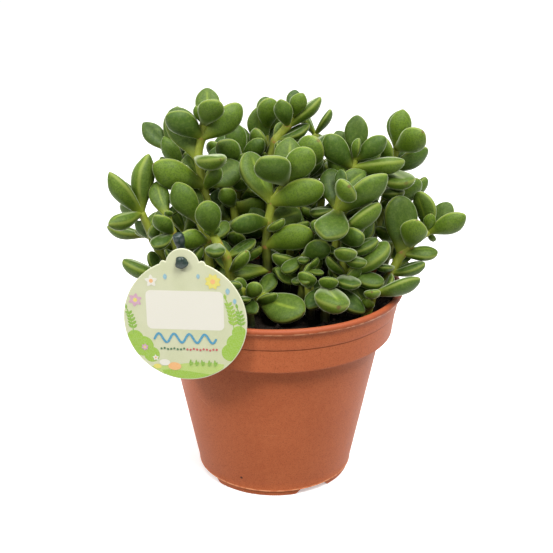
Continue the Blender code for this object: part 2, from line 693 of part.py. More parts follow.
def main():
    clear_scene()
    terracotta = plastic("terracotta_plastic", (0.50, 0.15, 0.07), 0.45)
    mix = plastic("potting_mix", (0.02, 0.014, 0.01), 0.95)
    card = plastic("printed_card", (0.62, 0.68, 0.42), 0.5)
    green = plastic("green_plastic", (0.02, 0.06, 0.05), 0.4)
    leaf = plastic("succulent_leaf", (0.12, 0.24, 0.05), 0.55)

    shoots = dict(SHOOTS)
    for name, rule in INNER_SHOOTS.items():
        shoots[name] = paired_shoot(*rule)
    foliage = Foliage(shoots)
    left = foliage.relax()
    print("leaves", len(left), "still touching", int((left > 0.35).sum()))

    make_pot(terracotta)
    make_soil(mix, shoots)
    make_tag(card)
    make_stake(green)
    for number, (name, (stem, _)) in enumerate(shoots.items()):
        mine = np.nonzero(foliage.owner == number)[0]
        bodies = [leaf_solid(foliage.base[k], foliage.frames[k], foliage.length[k]) for k in mine]
        make_shoot(name, stem, bodies, leaf)


main()
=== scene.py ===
# %% [markdown]
# # A potted crassula
# The object is a bushy little succulent in a 12 cm nursery pot of terracotta-coloured plastic, with a
# round card tag that hangs on a green stake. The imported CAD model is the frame: it says where every part
# stands and how large it is. This lesson dresses it, one part after another: the turned pot, the potting
# mix, the card and its print, the stake, and then every shoot with its fleshy leaves. All sizes below are
# millimetres until a mesh is made, because that is how a pot or a leaf is measured by hand, and Blender
# is then given metres.

import json
import math
from types import SimpleNamespace

import bpy
import numpy as np
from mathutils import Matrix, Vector, noise

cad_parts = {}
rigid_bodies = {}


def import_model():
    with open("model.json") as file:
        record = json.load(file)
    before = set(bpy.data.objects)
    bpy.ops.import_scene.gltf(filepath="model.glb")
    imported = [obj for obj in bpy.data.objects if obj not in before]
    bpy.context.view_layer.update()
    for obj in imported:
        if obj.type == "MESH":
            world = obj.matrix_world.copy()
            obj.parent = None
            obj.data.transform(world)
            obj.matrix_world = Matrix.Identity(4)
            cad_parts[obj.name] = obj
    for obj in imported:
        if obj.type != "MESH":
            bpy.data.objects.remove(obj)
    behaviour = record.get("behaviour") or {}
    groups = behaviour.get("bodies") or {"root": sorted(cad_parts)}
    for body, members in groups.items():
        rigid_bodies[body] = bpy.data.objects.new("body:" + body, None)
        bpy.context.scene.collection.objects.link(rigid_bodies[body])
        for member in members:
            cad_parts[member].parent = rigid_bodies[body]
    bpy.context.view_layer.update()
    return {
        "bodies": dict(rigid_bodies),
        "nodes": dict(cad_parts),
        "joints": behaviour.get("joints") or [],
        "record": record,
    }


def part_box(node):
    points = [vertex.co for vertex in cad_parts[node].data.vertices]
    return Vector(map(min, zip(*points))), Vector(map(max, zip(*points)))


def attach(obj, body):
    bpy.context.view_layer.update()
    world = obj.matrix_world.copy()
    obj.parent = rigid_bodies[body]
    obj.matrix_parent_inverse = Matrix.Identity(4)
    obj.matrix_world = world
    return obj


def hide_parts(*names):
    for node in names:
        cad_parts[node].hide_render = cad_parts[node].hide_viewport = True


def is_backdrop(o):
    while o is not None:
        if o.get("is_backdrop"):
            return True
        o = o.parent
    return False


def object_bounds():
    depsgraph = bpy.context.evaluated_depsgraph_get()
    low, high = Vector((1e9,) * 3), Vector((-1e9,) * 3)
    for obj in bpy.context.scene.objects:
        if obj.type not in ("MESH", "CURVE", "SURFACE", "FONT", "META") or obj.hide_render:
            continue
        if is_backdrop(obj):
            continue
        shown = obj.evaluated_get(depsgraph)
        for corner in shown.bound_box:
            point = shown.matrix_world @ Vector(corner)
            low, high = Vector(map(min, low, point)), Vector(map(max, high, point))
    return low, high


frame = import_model()
MM = 0.001

# %% [markdown]
# Every part here is a skin that is worked out point by point. A pot is a profile turned about an axis, a
# stem is a ring swept along a line, and a leaf is a ring that swells and shrinks along its midrib. All
# three are rows of rings, so one helper that joins rings into a closed skin serves them all. Modifiers
# could do each of these jobs too, but rings keep a value for every point, such as how near it is to a
# worn edge, and the paint reads it.

# %% Skins from rings
def joined_rings(rings, close_first=True, close_last=True):
    """Points and faces of a skin over rings of equal size, with a fan over each end that is to be closed."""
    rings = np.asarray(rings, float)
    count, size = rings.shape[:2]
    points = rings.reshape(-1, 3)
    k, i = np.meshgrid(np.arange(count - 1), np.arange(size), indexing="ij")
    j = (i + 1) % size
    low, high = k * size, (k + 1) * size
    faces = np.stack((low + i, low + j, high + j, high + i), -1).reshape(-1, 4).tolist()
    around = np.arange(size)
    for wanted, first, flip in ((close_first, 0, True), (close_last, (count - 1) * size, False)):
        if not wanted:
            continue
        middle = points[first:first + size].mean(0)
        points = np.vstack((points, middle))
        a, b = first + around, first + (around + 1) % size
        hub = np.full(size, len(points) - 1)
        faces += (np.stack((b, a, hub), 1) if flip else np.stack((a, b, hub), 1)).tolist()
    return points, faces


def merged(shapes):
    """Several (points, faces) as one."""
    points, faces, start = [], [], 0
    for more_points, more_faces in shapes:
        points.append(np.asarray(more_points, float))
        faces += [[index + start for index in face] for face in more_faces]
        start += len(more_points)
    return np.vstack(points), faces


def unit(v):
    v = np.asarray(v, float)
    return v / np.linalg.norm(v)


def full_turn(count):
    """Evenly spaced headings round a circle, in radians."""
    return np.linspace(0, 2 * math.pi, count + 1)[:-1]

# %% Meshes and pieces
def shade(mesh, angle):
    """Smooth shading, but for edges sharper than an angle in degrees."""
    mesh.shade_smooth()
    mesh.set_sharp_from_angle(angle=math.radians(angle))


def make_object(name, points, faces, values=None, smooth=None):
    """A mesh object from points in millimetres, with named values for its points that materials can read."""
    mesh = bpy.data.meshes.new(name)
    mesh.from_pydata((MM * np.asarray(points, float)).tolist(), [], faces)
    for key, numbers in (values or {}).items():
        numbers = np.asarray(numbers, np.float32)
        kind, field = ("FLOAT_COLOR", "color") if numbers.ndim == 2 else ("FLOAT", "value")
        mesh.attributes.new(key, kind, "POINT").data.foreach_set(field, numbers.ravel())
    mesh.update()
    if smooth is not None:
        shade(mesh, smooth)
    made = bpy.data.objects.new(name, mesh)
    bpy.context.scene.collection.objects.link(made)
    return made


def cut_away(body, cutter, smooth):
    """Cuts one mesh out of another for good, and removes the cutter."""
    modifier = body.modifiers.new("Cut", "BOOLEAN")
    modifier.operation, modifier.solver, modifier.object = "DIFFERENCE", "EXACT", cutter
    bpy.context.view_layer.update()
    cut = bpy.data.meshes.new_from_object(body.evaluated_get(bpy.context.evaluated_depsgraph_get()))
    body.modifiers.clear()
    body.data = cut
    shade(cut, smooth)
    bpy.data.objects.remove(cutter)


def add_piece(body, node, slot, *materials):
    """The finished object takes the CAD node's place and gets its materials."""
    body.data.materials.clear()
    for material in materials:
        body.data.materials.append(material)
    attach(body, "root")
    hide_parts(node)
    low, high = np.array(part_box(node))
    size = np.round((high - low) / MM, 1)
    print(f"{body.name}: {len(body.data.polygons)} faces, in place of {node}, {size} mm")
    return body

# %% [markdown]
# A finish is a small program made of nodes. Written node by node it is hard to read, so one class wraps a
# node's output, and Python's own signs then add the Math nodes: `1 - mask` or `fine * 0.3 + coarse`.
# Colours can't go through Math nodes, which would turn them grey, so a helper mixes them. Everything that
# is the same all over a surface, such as its sheen, is set straight on the shader.

# %% Shader arithmetic
class Wire:
    """One output of a shader node, or just the node tree to start from."""

    def __init__(self, tree, socket=None):
        self.tree, self.socket = tree, socket

    def node(self, kind, settings=None, sockets=None, out=0):
        """Adds a node: first its settings, then a value or a link for each socket, by name or number."""
        made = self.tree.nodes.new(kind)
        for name, value in (settings or {}).items():
            setattr(made, name, value)
        for name, value in (sockets or {}).items():
            if isinstance(value, Wire):
                self.tree.links.new(value.socket, made.inputs[name])
            else:
                made.inputs[name].default_value = value
        return Wire(self.tree, made.outputs[out])

    def math(self, operation, *values):
        return self.node("ShaderNodeMath", {"operation": operation}, dict(enumerate(values)))

    def __add__(self, other):
        return self.math("ADD", self, other)

    def __radd__(self, other):
        return self.math("ADD", other, self)

    def __sub__(self, other):
        return self.math("SUBTRACT", self, other)

    def __rsub__(self, other):
        return self.math("SUBTRACT", other, self)

    def __mul__(self, other):
        return self.math("MULTIPLY", self, other)

    def __rmul__(self, other):
        return self.math("MULTIPLY", other, self)

    def __abs__(self):
        return self.math("ABSOLUTE", self)

    def rises(self, low, high):
        """0 below low, 1 above high, and a smooth slope between."""
        ends = {"Value": self, "From Min": low, "From Max": high}
        return self.node("ShaderNodeMapRange", {"interpolation_type": "SMOOTHSTEP"}, ends)

    def between(self, first, second):
        """A colour from first, where this is 0, to second, where it is 1. Either may be a wire."""
        return self.node("ShaderNodeMix", {"data_type": "RGBA"}, {0: self, 6: first, 7: second}, 2)

    def value(self, name):
        """The named value that the mesh holds for each of its points."""
        return self.node("ShaderNodeAttribute", {"attribute_name": name}, out="Fac")

    def speckle(self, size, detail=2.0, stretch=None):
        """Noise about 0.5 whose blotches are about size millimetres across."""
        place = self.node("ShaderNodeTexCoord", out="Object")
        if stretch:
            place = self.node("ShaderNodeMapping", None, {"Vector": place, "Scale": stretch})
        sockets = {"Vector": place, "Scale": 1 / (size * MM), "Detail": detail}
        return self.node("ShaderNodeTexNoise", None, sockets)

    def into(self, node, name):
        self.tree.links.new(self.socket, node.inputs[name])

# %% Colours and finishes
def chart(red, green, blue):
    """A colour from a paint chart, 0 to 255, as the linear light that shaders take."""
    shares = [c / 255 for c in (red, green, blue)]
    return (*[c / 12.92 if c <= 0.04045 else ((c + 0.055) / 1.055) ** 2.4 for c in shares], 1.0)


def new_finish(name, **constants):
    """A new material, its shader with the given constants set, and a wire to start from."""
    material = bpy.data.materials.new(name)
    material.use_nodes = True
    shader = material.node_tree.nodes["Principled BSDF"]
    for socket, value in constants.items():
        shader.inputs[socket.replace("_", " ")].default_value = value
    return material, shader, Wire(material.node_tree)


def roughen(start, shader, height, depth, strength=1.0):
    """Dents of the given depth in millimetres, from a height that runs from 0 to 1."""
    sockets = {"Height": height, "Distance": depth * MM, "Strength": strength}
    start.node("ShaderNodeBump", None, sockets).into(shader, "Normal")


print("a mid grey on the chart is", round(chart(128, 128, 128)[0], 3), "in linear light")

# %% [markdown]
# ## The pot
# A nursery pot is injection moulded: a thin tapering body, a wider band round the top so that pots nest
# without jamming, a rolled lip, and a foot ring with four gaps that let water out. The mould leaves small
# marks that make it look real: a step in the band where two halves of the tool met, a ragged whisker of
# flash under the lip and an even one above the foot. A Screw modifier could turn the profile, but the
# foot's gaps change with the heading, so the rings are turned here and the lowest ones are lifted where a
# gap is.

# %% Pot sizes
LIP_RADIUS, POT_HEIGHT = 60.0, 93.5
BAND_BOTTOM, BAND_BOTTOM_RADIUS, BAND_TOP_RADIUS = 72.0, 55.4, 58.0
BODY_TOP_RADIUS, BODY_BOTTOM_RADIUS = 50.4, 37.0
FOOT_RADIUS, FOOT_HEIGHT, FOOT_WIDTH = 36.4, 3.0, 2.8
WALL = 1.4
FOOT_GAP_WIDTH, FOOT_GAP_FIRST, FOOT_GAP_SLOPE, FOOT_GAP_DEPTH = 15.0, -60.0, 3.4, 2.6
DRAIN_RADIUS, DRAIN_CIRCLE = 3.5, 23.0
STEP_HEIGHT, STEP_OUT = 83.4, 0.3
FLASH_OUT, FLASH_BITS, FLASH_GAPS = 0.28, 14.0, 0.12  # how far out, how finely broken, how much is missing
SIDES = 288


def band(z):
    """Outer radius of the band at a height."""
    share = (z - BAND_BOTTOM) / (POT_HEIGHT - 2.5 - BAND_BOTTOM)
    return BAND_BOTTOM_RADIUS + share * (BAND_TOP_RADIUS - BAND_BOTTOM_RADIUS)


def pot_wall(z):
    """Inner radius of the pot at a height, above its floor."""
    if z > BAND_BOTTOM + WALL:
        return band(z) - WALL
    share = (z - FOOT_HEIGHT) / (BAND_BOTTOM - FOOT_HEIGHT)
    return BODY_BOTTOM_RADIUS - WALL + share * (BODY_TOP_RADIUS - BODY_BOTTOM_RADIUS)

# %% The turned profile
def pot_profile():
    """(radius, height, how pale its edge is: bleached flash and painted highlight) from the underside, up the
    outside, and down the inside.
    """
    ledge, floor = BAND_BOTTOM + WALL, FOOT_HEIGHT + WALL
    inner_foot = FOOT_RADIUS - FOOT_WIDTH
    foot = [(1.0, FOOT_HEIGHT, 0), (12.0, FOOT_HEIGHT, 0), (inner_foot, FOOT_HEIGHT, 0), (inner_foot, 0.4, 0),
            (inner_foot + 0.3, 0.0, 0), (FOOT_RADIUS - 0.4, 0.0, 0), (FOOT_RADIUS, 0.4, 0),
            (FOOT_RADIUS + 0.15, 2.4, 0), (FOOT_RADIUS + 0.3, 2.7, 0.4)]
    above_foot = [(BODY_BOTTOM_RADIUS + out, z, edge)
                  for out, z, edge in ((0.2, 2.8, 1), (0.42, 3.0, 1), (0.3, 3.35, 1), (0.25, 3.7, 0))]
    body = [(BODY_BOTTOM_RADIUS + 0.3 + share * (BODY_TOP_RADIUS - BODY_BOTTOM_RADIUS - 0.3),
             3.7 + share * (BAND_BOTTOM - 4.9), 0) for share in np.linspace(0.06, 1, 12)]
    under = [(BODY_TOP_RADIUS + 0.25, BAND_BOTTOM - 0.4, 0), (BODY_TOP_RADIUS + 1.0, BAND_BOTTOM - 0.05, 0),
             (BAND_BOTTOM_RADIUS - 0.7, BAND_BOTTOM, 0), (BAND_BOTTOM_RADIUS - 0.12, BAND_BOTTOM + 0.12, 0.2),
             (band(BAND_BOTTOM + 0.35), BAND_BOTTOM + 0.35, 0.2),
             (band(BAND_BOTTOM + 1.0), BAND_BOTTOM + 1.0, 0)]
    below = [(band(z), z, 0) for z in (75.0, 79.0, 82.0, STEP_HEIGHT - 0.25)]
    at_step = band(STEP_HEIGHT)
    step = [(at_step - 0.3, STEP_HEIGHT - 0.05, 0), (at_step + STEP_OUT - 0.1, STEP_HEIGHT + 0.05, 0),
            (at_step + STEP_OUT, STEP_HEIGHT + 0.3, 0)]
    above = [(band(z) + STEP_OUT, z, 0) for z in (85.5, 88.0, 90.2)]
    lip = [(58.6, 90.75, 0), (59.3, 90.95, 0.2), (59.75, 91.2, 1), (59.95, 91.6, 1), (60.0, 92.1, 0),
           (59.85, 92.7, 0), (59.45, 93.15, 0), (58.8, 93.45, 0), (58.1, 93.5, 0), (57.5, 93.25, 0),
           (57.1, 92.7, 0), (56.85, 91.9, 0), (pot_wall(90.6), 90.6, 0)]
    inside = [(pot_wall(z), z, 0) for z in (88.0, 86.0, 80.0, ledge + 0.01)]
    inside += [(pot_wall(z), z, 0) for z in (ledge - 0.01, 50.0, 25.0, floor)]
    outside = foot + above_foot + body + under + below + step + above + lip
    return outside + inside + [(12.0, floor, 0), (1.0, floor, 0)]


profile = pot_profile()
print(len(profile), "rings, from", min(z for _, z, _ in profile), "to", max(z for _, z, _ in profile), "mm")

# %% Foot gaps and mould flash
def foot_lift(heading):
    """How far the foot's edge is lifted at a heading: it slants up at both ends of each gap."""
    nearest = (heading - FOOT_GAP_FIRST + 45) % 90 - 45
    along = math.radians(abs(nearest)) * FOOT_RADIUS
    share = (0.5 * FOOT_GAP_WIDTH + 0.5 * FOOT_GAP_SLOPE - along) / FOOT_GAP_SLOPE
    share = min(max(share, 0.0), 1.0)
    return FOOT_GAP_DEPTH * share * share * (3 - 2 * share)


def flash(heading, z):
    """A thin, broken whisker of plastic under the lip, in millimetres."""
    a = math.radians(heading)
    ragged = noise.noise(Vector((FLASH_BITS * math.cos(a), FLASH_BITS * math.sin(a), z)))
    return FLASH_OUT * max(0.0, ragged - FLASH_GAPS) if z > BAND_BOTTOM else 0.0


LIFTED_FROM, LIFTED_BELOW = 30.0, FOOT_HEIGHT - 0.1  # the foot's rings: their least radius, greatest height
rings = []
for radius, z, edge in profile:
    ring = []
    for k in range(SIDES):
        heading = 360 * k / SIDES
        a = math.radians(heading)
        lift = foot_lift(heading) if radius > LIFTED_FROM and z < LIFTED_BELOW else 0.0
        out = min(radius + (flash(heading, z) if edge == 1 else 0.0), LIP_RADIUS + 0.1)
        height = lift + z * (1 - lift / LIFTED_BELOW) if lift else z
        ring.append((out * math.cos(a), out * math.sin(a), height))
    rings.append(ring)
points, faces = joined_rings(rings)
bleached_and_highlit = np.append(np.repeat([edge for _, _, edge in profile], SIDES), (0, 0))
pot = make_object("pot_turned", points, faces, {"bleached_and_highlit": bleached_and_highlit}, smooth=32)
print("foot gaps:", [FOOT_GAP_FIRST + 90 * k for k in range(4)], "degrees")

# %% [markdown]
# Between the foot's gaps and the middle, four round holes in the floor drain the pot. A hole through a
# turned skin is the one job here that a Boolean does better than rings, because it cuts both faces of the
# floor at once and leaves a clean round edge.

# %% Drain holes
holes = []
for quarter in range(4):
    a = math.radians(FOOT_GAP_FIRST + 45 + 90 * quarter)
    middle = np.array((DRAIN_CIRCLE * math.cos(a), DRAIN_CIRCLE * math.sin(a), 0.0))
    circle = np.array([(DRAIN_RADIUS * math.cos(b), DRAIN_RADIUS * math.sin(b), 0) for b in full_turn(32)])
    holes.append(joined_rings([middle + circle + (0, 0, FOOT_HEIGHT + z) for z in (-1.5, 3.0)]))
cut_away(pot, make_object("drain_cutter", *merged(holes)), smooth=32)
print("four drain holes of", 2 * DRAIN_RADIUS, "mm")

# %% [markdown]
# The plastic is orange-brown all through, with pigment that never mixes quite evenly, so it is finely
# mottled and a little cloudy. It is neither glossy nor matt: the mould was etched, and the light spreads
# over it. Along the flash, under the lip and above the foot, it is paler: partly bleached plastic, where
# it was stretched, and partly a painted highlight on those edges. A dark line of painted shade runs along
# the step, and the top of the lip is painted darker as painted shade. A few faults of use are kept: two
# pale scratches on the body and two dark specks near the foot. All of it is paint by position, so it
# needs no picture: a scratch is every point near a line, and a speck every point near another point.

# %% Terracotta plastic
# Each scratch: its ends and how much it shows. Each speck: its place and size.
SCRATCHES = (((-35.9, -28.9, 49.7), (-29.3, -34.6, 45.5), 0.4),
             ((-8.4, -42.6, 35.9), (2.8, -43.3, 35.7), 0.22))
SPECKS = (((-15.4, -35.0, 9.1), 0.85), ((-29.1, -24.9, 10.2), 0.5))


def measured_from(start, place, point, way):
    """How far each point of the surface lies from a point, in millimetres, along a unit direction."""
    sockets = {0: place, 1: [c / MM for c in way]}
    dot = start.node("ShaderNodeVectorMath", {"operation": "DOT_PRODUCT"}, sockets, "Value")
    return dot - float(np.dot(point, way))


terracotta, shader, start = new_finish("terracotta_plastic", Specular_IOR_Level=0.2)
cloud, mottle, grain = start.speckle(22, 3), start.speckle(2.0, 3), start.speckle(0.5, 2)
colour = cloud.rises(0.3, 0.7).between(chart(187, 99, 58), chart(193, 104, 62))
colour = (mottle.rises(0.35, 0.7) * 0.3).between(colour, chart(206, 118, 74))
colour = ((1 - grain.rises(0.28, 0.52)) * 0.5).between(colour, chart(142, 66, 34))
place = start.node("ShaderNodeTexCoord", out="Object")
height = start.node("ShaderNodeSeparateXYZ", None, {0: place}, "Z") * (1 / MM)
broken = start.speckle(3.0, 2).rises(0.4, 0.58)
# Painted shade: the top of the lip is painted darker, standing in for shade on it.
painted_lip_shade = height.rises(POT_HEIGHT - 2.3, POT_HEIGHT - 1.7) * (0.55 + cloud * 0.2)
colour = painted_lip_shade.between(colour, chart(128, 58, 32))
# Painted shade: a dark line along the step, standing in for the shadow under its small ledge.
painted_step_shade = 1 - abs(height - STEP_HEIGHT + 0.15).rises(0.1, 0.42)
colour = (painted_step_shade * 0.5).between(colour, chart(96, 44, 24))
for first, last, strength in SCRATCHES:
    along = unit(np.subtract(last, first))
    outwards = unit((first[0], first[1], 0.0))
    across, reach = np.cross(outwards, along), float(np.linalg.norm(np.subtract(last, first)))
    run, aside, out = (measured_from(start, place, first, way) for way in (along, across, outwards))
    line = (1 - abs(aside + mottle * 0.5 - 0.25).rises(0.06, 0.3)) * out.rises(-8.0, -6.0)
    line = line * run.rises(0.0, 2.0) * (1 - run.rises(reach - 2.0, reach)) * (0.45 + broken * 0.55)
    colour = (line * strength).between(colour, chart(222, 150, 108))
for spot, size in SPECKS:
    sockets = {0: place, 1: [MM * c for c in spot]}
    far = start.node("ShaderNodeVectorMath", {"operation": "DISTANCE"}, sockets, "Value") * (1 / MM)
    colour = (1 - far.rises(0.5 * size, size)).between(colour, chart(60, 26, 18))
# Paler along the flash: partly bleached plastic, partly a painted highlight on those edges.
bleached_and_highlit = start.value("bleached_and_highlit") * (0.5 + broken * 0.5)
colour = (bleached_and_highlit.rises(0.25, 1.0) * 0.75).between(colour, chart(232, 162, 116))
colour.into(shader, "Base Color")
(0.46 + mottle * 0.1 - bleached_and_highlit * 0.08).into(shader, "Roughness")
roughen(start, shader, grain * 0.6 + mottle * 0.4, 0.05, 0.5)
pot = add_piece(pot, "pot", "terracotta_plastic", terracotta)

# %% [markdown]
# ## The potting mix
# Peat and fine bark fill the pot to a finger's breadth under the lip. From the side only a dark ragged
# surface shows between the stems, so what matters is that it is lumpy, almost black and never shiny. The
# skin follows the inside of the pot, its top is pushed up and down by two sizes of noise, and a few
# hundred crumbs of bark lie on it. A particle system could scatter the crumbs, but a seeded loop gives
# the same ones on every run.

# %% Potting mix
SOIL_TOP, SOIL_CLEARANCE, CRUMBS = 86.0, 0.3, 520
rng = np.random.default_rng(12)


def soil_height(x, y):
    lumps = noise.noise(Vector((x, y, 0)) / 9) * 1.7 + noise.noise(Vector((x, y, 5)) / 2.6) * 0.9
    return SOIL_TOP - 0.6 + lumps + noise.noise(Vector((x, y, 9)) / 1.1) * 0.35


edge = pot_wall(SOIL_TOP) - SOIL_CLEARANCE
ledge, floor = BAND_BOTTOM + WALL, FOOT_HEIGHT + WALL + SOIL_CLEARANCE
side = [(2.0, floor), (pot_wall(floor) - 0.4, floor), (pot_wall(ledge - 0.01) - 0.4, ledge + SOIL_CLEARANCE),
        (pot_wall(ledge + 0.01) - 0.3, ledge + SOIL_CLEARANCE), (edge - 0.6, SOIL_TOP - 4)]
headings = full_turn(180)
rings = [[(r * math.cos(a), r * math.sin(a), z) for a in headings] for r, z in side]
for r in np.linspace(edge, 0.8, 52):
    flat = [(r * math.cos(a), r * math.sin(a)) for a in headings]
    rings.append([(x, y, soil_height(x, y)) for x, y in flat])
shapes = [joined_rings(rings)]
tones = [np.full(len(shapes[0][0]), 0.3)]
print("the mix:", len(rings), "rings of", len(headings), "points")

# %% [markdown]
# A crumb is a lump of bark: eight corners pushed about at random, wider than it is thick, sunk a little.

# %% Crumbs
CRUMB_SHAPE, CRUMB_ROUGHNESS = (1, 0.7, 0.45), 0.18
CORNERS = np.array([(x, y, z) for z in (-1, 1) for x, y in ((-1, -1), (1, -1), (1, 1), (-1, 1))], float)
SIDES_OF_CRUMB = [[3, 2, 1, 0], [4, 5, 6, 7], [0, 1, 5, 4], [1, 2, 6, 5], [2, 3, 7, 6], [3, 0, 4, 7]]
for _ in range(CRUMBS):
    r, a = (edge - 2) * math.sqrt(rng.random()), 2 * math.pi * rng.random()
    size = 0.35 + 1.1 * rng.random() ** 2.5
    turn, _ = np.linalg.qr(rng.normal(size=(3, 3)))
    turn[:, 0] *= np.sign(np.linalg.det(turn))
    corners = (CORNERS * CRUMB_SHAPE + rng.normal(size=(8, 3)) * CRUMB_ROUGHNESS) * size @ turn
    x, y = r * math.cos(a), r * math.sin(a)
    shapes.append((corners + (x, y, soil_height(x, y) + 0.25 * size), SIDES_OF_CRUMB))
    tones.append(np.full(8, rng.random()))
soil = make_object("potting_mix_lumps", *merged(shapes), {"tone": np.concatenate(tones)}, smooth=50)

potting, shader, start = new_finish("potting_mix", Specular_IOR_Level=0.15)
fine, damp = start.speckle(0.7, 4), start.speckle(6, 3)
colour = start.value("tone").between(chart(16, 13, 11), chart(38, 30, 23))
colour = (fine.rises(0.4, 0.7) * 0.6).between(colour, chart(50, 39, 29))
colour = (damp.rises(0.45, 0.7) * 0.5).between(colour, chart(10, 9, 8))
colour.into(shader, "Base Color")
(0.98 - damp.rises(0.5, 0.8) * 0.15).into(shader, "Roughness")
roughen(start, shader, fine, 0.5, 0.8)
soil = add_piece(soil, "potting_soil", "potting_mix", potting)

# %% [markdown]
# ## The tag
# Nurseries hang a printed card on the plant. This one is a disc with a round ear at the top, where a hole
# takes the stake's peg, and a small lobe on each side of the ear. Such an outline is circles that run
# into each other. It could be arcs joined by hand, but then every corner has to be worked out. Seen from
# the disc's middle each direction meets the edge once, so the edge is simply the furthest of the circles
# in that direction. The card leans back a little and is turned a little aside, so it has a frame of its
# own: right, up and out.

# %% Tag sizes and place
TAG_CENTRE, TAG_RADIUS, TAG_THICKNESS = (-37.0, -56.2, 96.7), 26.0, 0.8
TAG_YAW, TAG_LEAN, TAG_TURN = 8.0, 3.0, -1.5
EAR_RADIUS, EAR_CENTRE = 7.0, 23.8
LOBE_X, LOBE_Y, LOBE_RADIUS = 8.0, 24.0, 1.6
HOLE_CENTRE, HOLE_RADIUS = 25.2, 2.3


def tag_frame():
    """Rows: to the tag's right, up it, and out of its printed face."""
    yaw, lean, turn = map(math.radians, (TAG_YAW, TAG_LEAN, TAG_TURN))
    normal = unit((-math.sin(yaw), -math.cos(yaw), math.tan(lean)))
    level = unit(np.cross((0.0, 0.0, 1.0), normal))
    upright = np.cross(normal, level)
    right = math.cos(turn) * level - math.sin(turn) * upright
    up = math.cos(turn) * upright + math.sin(turn) * level
    return np.array((right, up, normal))


def on_tag(points, out):
    """Places flat points (x, y) on the tag, a distance out of its middle plane."""
    points = np.asarray(points, float)
    right, up, normal = tag_frame()
    return np.array(TAG_CENTRE) + points[:, :1] * right + points[:, 1:] * up + out * normal

# %% The card's edge
def arc(centre, radius, first, last, count):
    """Points from one angle to another, in radians, both ends included."""
    angles = np.linspace(first, last, count)
    return np.stack((centre[0] + radius * np.cos(angles), centre[1] + radius * np.sin(angles)), 1)


def card_edge(inset=0.0):
    """The outline, counter-clockwise, drawn in by an inset. Its points are closer together round the ear."""
    headings = np.radians(np.concatenate((np.arange(60, 120, 0.5), np.arange(120, 420, 2.5))))
    ways = np.stack((np.cos(headings), np.sin(headings)), 1)
    far = np.zeros(len(ways))
    for x, y, radius in ((0, 0, TAG_RADIUS), (0, EAR_CENTRE, EAR_RADIUS), (LOBE_X, LOBE_Y, LOBE_RADIUS),
                         (-LOBE_X, LOBE_Y, LOBE_RADIUS)):
        along = ways @ (x, y)
        spare = (radius - inset) ** 2 - (x * x + y * y - along**2)
        far = np.maximum(far, np.where(spare > 0, along + np.sqrt(np.maximum(spare, 0)), 0))
    return far[:, None] * ways


half = 0.5 * TAG_THICKNESS
layers = [(0.8, -half, 0), (0.12, -half, 1), (0.0, -half + 0.12, 1), (0.0, half - 0.12, 1), (0.12, half, 1),
          (0.8, half, 0)]
rings = [on_tag(card_edge(inset), out) for inset, out, _ in layers]
points, faces = joined_rings(rings)
cut_edge = np.append(np.repeat([edge for *_, edge in layers], len(rings[0])), (0, 0))
card = make_object("tag_card_sheet", points, faces, {"cut_edge": cut_edge}, smooth=40)
circle = arc((0, HOLE_CENTRE), HOLE_RADIUS, 0, 2 * math.pi, 33)[:-1]
through = 2.5 * TAG_THICKNESS
cutter = make_object("peg_hole_cutter", *joined_rings([on_tag(circle, -through), on_tag(circle, through)]))
cut_away(card, cutter, smooth=40)
print("card:", 2 * TAG_RADIUS, "mm across, hole", 2 * HOLE_RADIUS, "mm")

# %% [markdown]
# The card is pale yellow-green right through, and paler where it was punched out. It is coated on the
# printed side, so it is smoother than bare paper, with the faintest fibre in it.

# %% Card
printed_card, shader, start = new_finish("printed_card", Specular_IOR_Level=0.4)
fibre, soft = start.speckle(0.5, 3), start.speckle(14, 2)
colour = soft.rises(0.3, 0.7).between(chart(200, 203, 164), chart(208, 209, 176))
colour = (fibre.rises(0.35, 0.65) * 0.25).between(colour, chart(214, 216, 180))
colour = (start.value("cut_edge").rises(0.2, 1) * 0.45).between(colour, chart(230, 230, 204))
colour.into(shader, "Base Color")
(0.48 + fibre * 0.08).into(shader, "Roughness")
roughen(start, shader, fibre, 0.02, 0.4)
card = add_piece(card, "tag_card", "printed_card", printed_card)

# %% [markdown]
# ## The print
# The print is a generic garden scene of flat inks: hills, pebbles, bushes, blossoms, drops and a wavy
# line round a blank panel for the grower to write on. Ink could be painted by the shader from distances
# to shapes, but that is long for a drawing. Each motif is cut here from a thin sheet instead, and lies a
# few thousandths of a millimetre above the one before, as inks do that are printed one after another. Its
# points hold its colour.

# %% Inks and how a motif is laid down
INKS = {"pale green": (178, 200, 108), "green": (146, 182, 60), "cream": (228, 224, 211),
        "leaf green": (128, 170, 54), "pink": (204, 160, 180), "pale blue": (140, 182, 196),
        "blue": (62, 144, 178), "dark green": (56, 102, 66), "red": (190, 74, 84), "yellow": (222, 210, 104),
        "orange": (234, 176, 116)}
PRINT_RADIUS, FIRST_SHEET, SHEET_STEP = TAG_RADIUS - 0.35, 0.02, 0.002
motifs = []


def lay(outline, ink):
    """Adds a flat shape in one ink, kept inside the card's edge."""
    outline = np.asarray(outline, float)
    far = np.linalg.norm(outline, axis=1)
    motifs.append((outline * np.minimum(1, PRINT_RADIUS / np.maximum(far, 1e-9))[:, None], ink))


def disc(x, y, radius, ink, corners=32, squash=1.0):
    """A round shape, or an oval one where it is squashed."""
    lay(arc((0, 0), radius, 0, 2 * math.pi, corners + 1)[:-1] * (1, squash) + (x, y), ink)


def petal(x, y, heading, length, width, ink):
    """A leaf or petal that starts at a point and runs along a heading in degrees."""
    t = np.linspace(0, 1, 13)
    side = 0.5 * width * np.sin(math.pi * t) ** 0.8 * (1.15 - 0.3 * t)
    flat = np.vstack((np.stack((t * length, -side), 1), np.stack((t * length, side), 1)[-2:0:-1]))
    a = math.radians(heading)
    lay(flat @ np.array(((math.cos(a), math.sin(a)), (-math.sin(a), math.cos(a)))) + (x, y), ink)


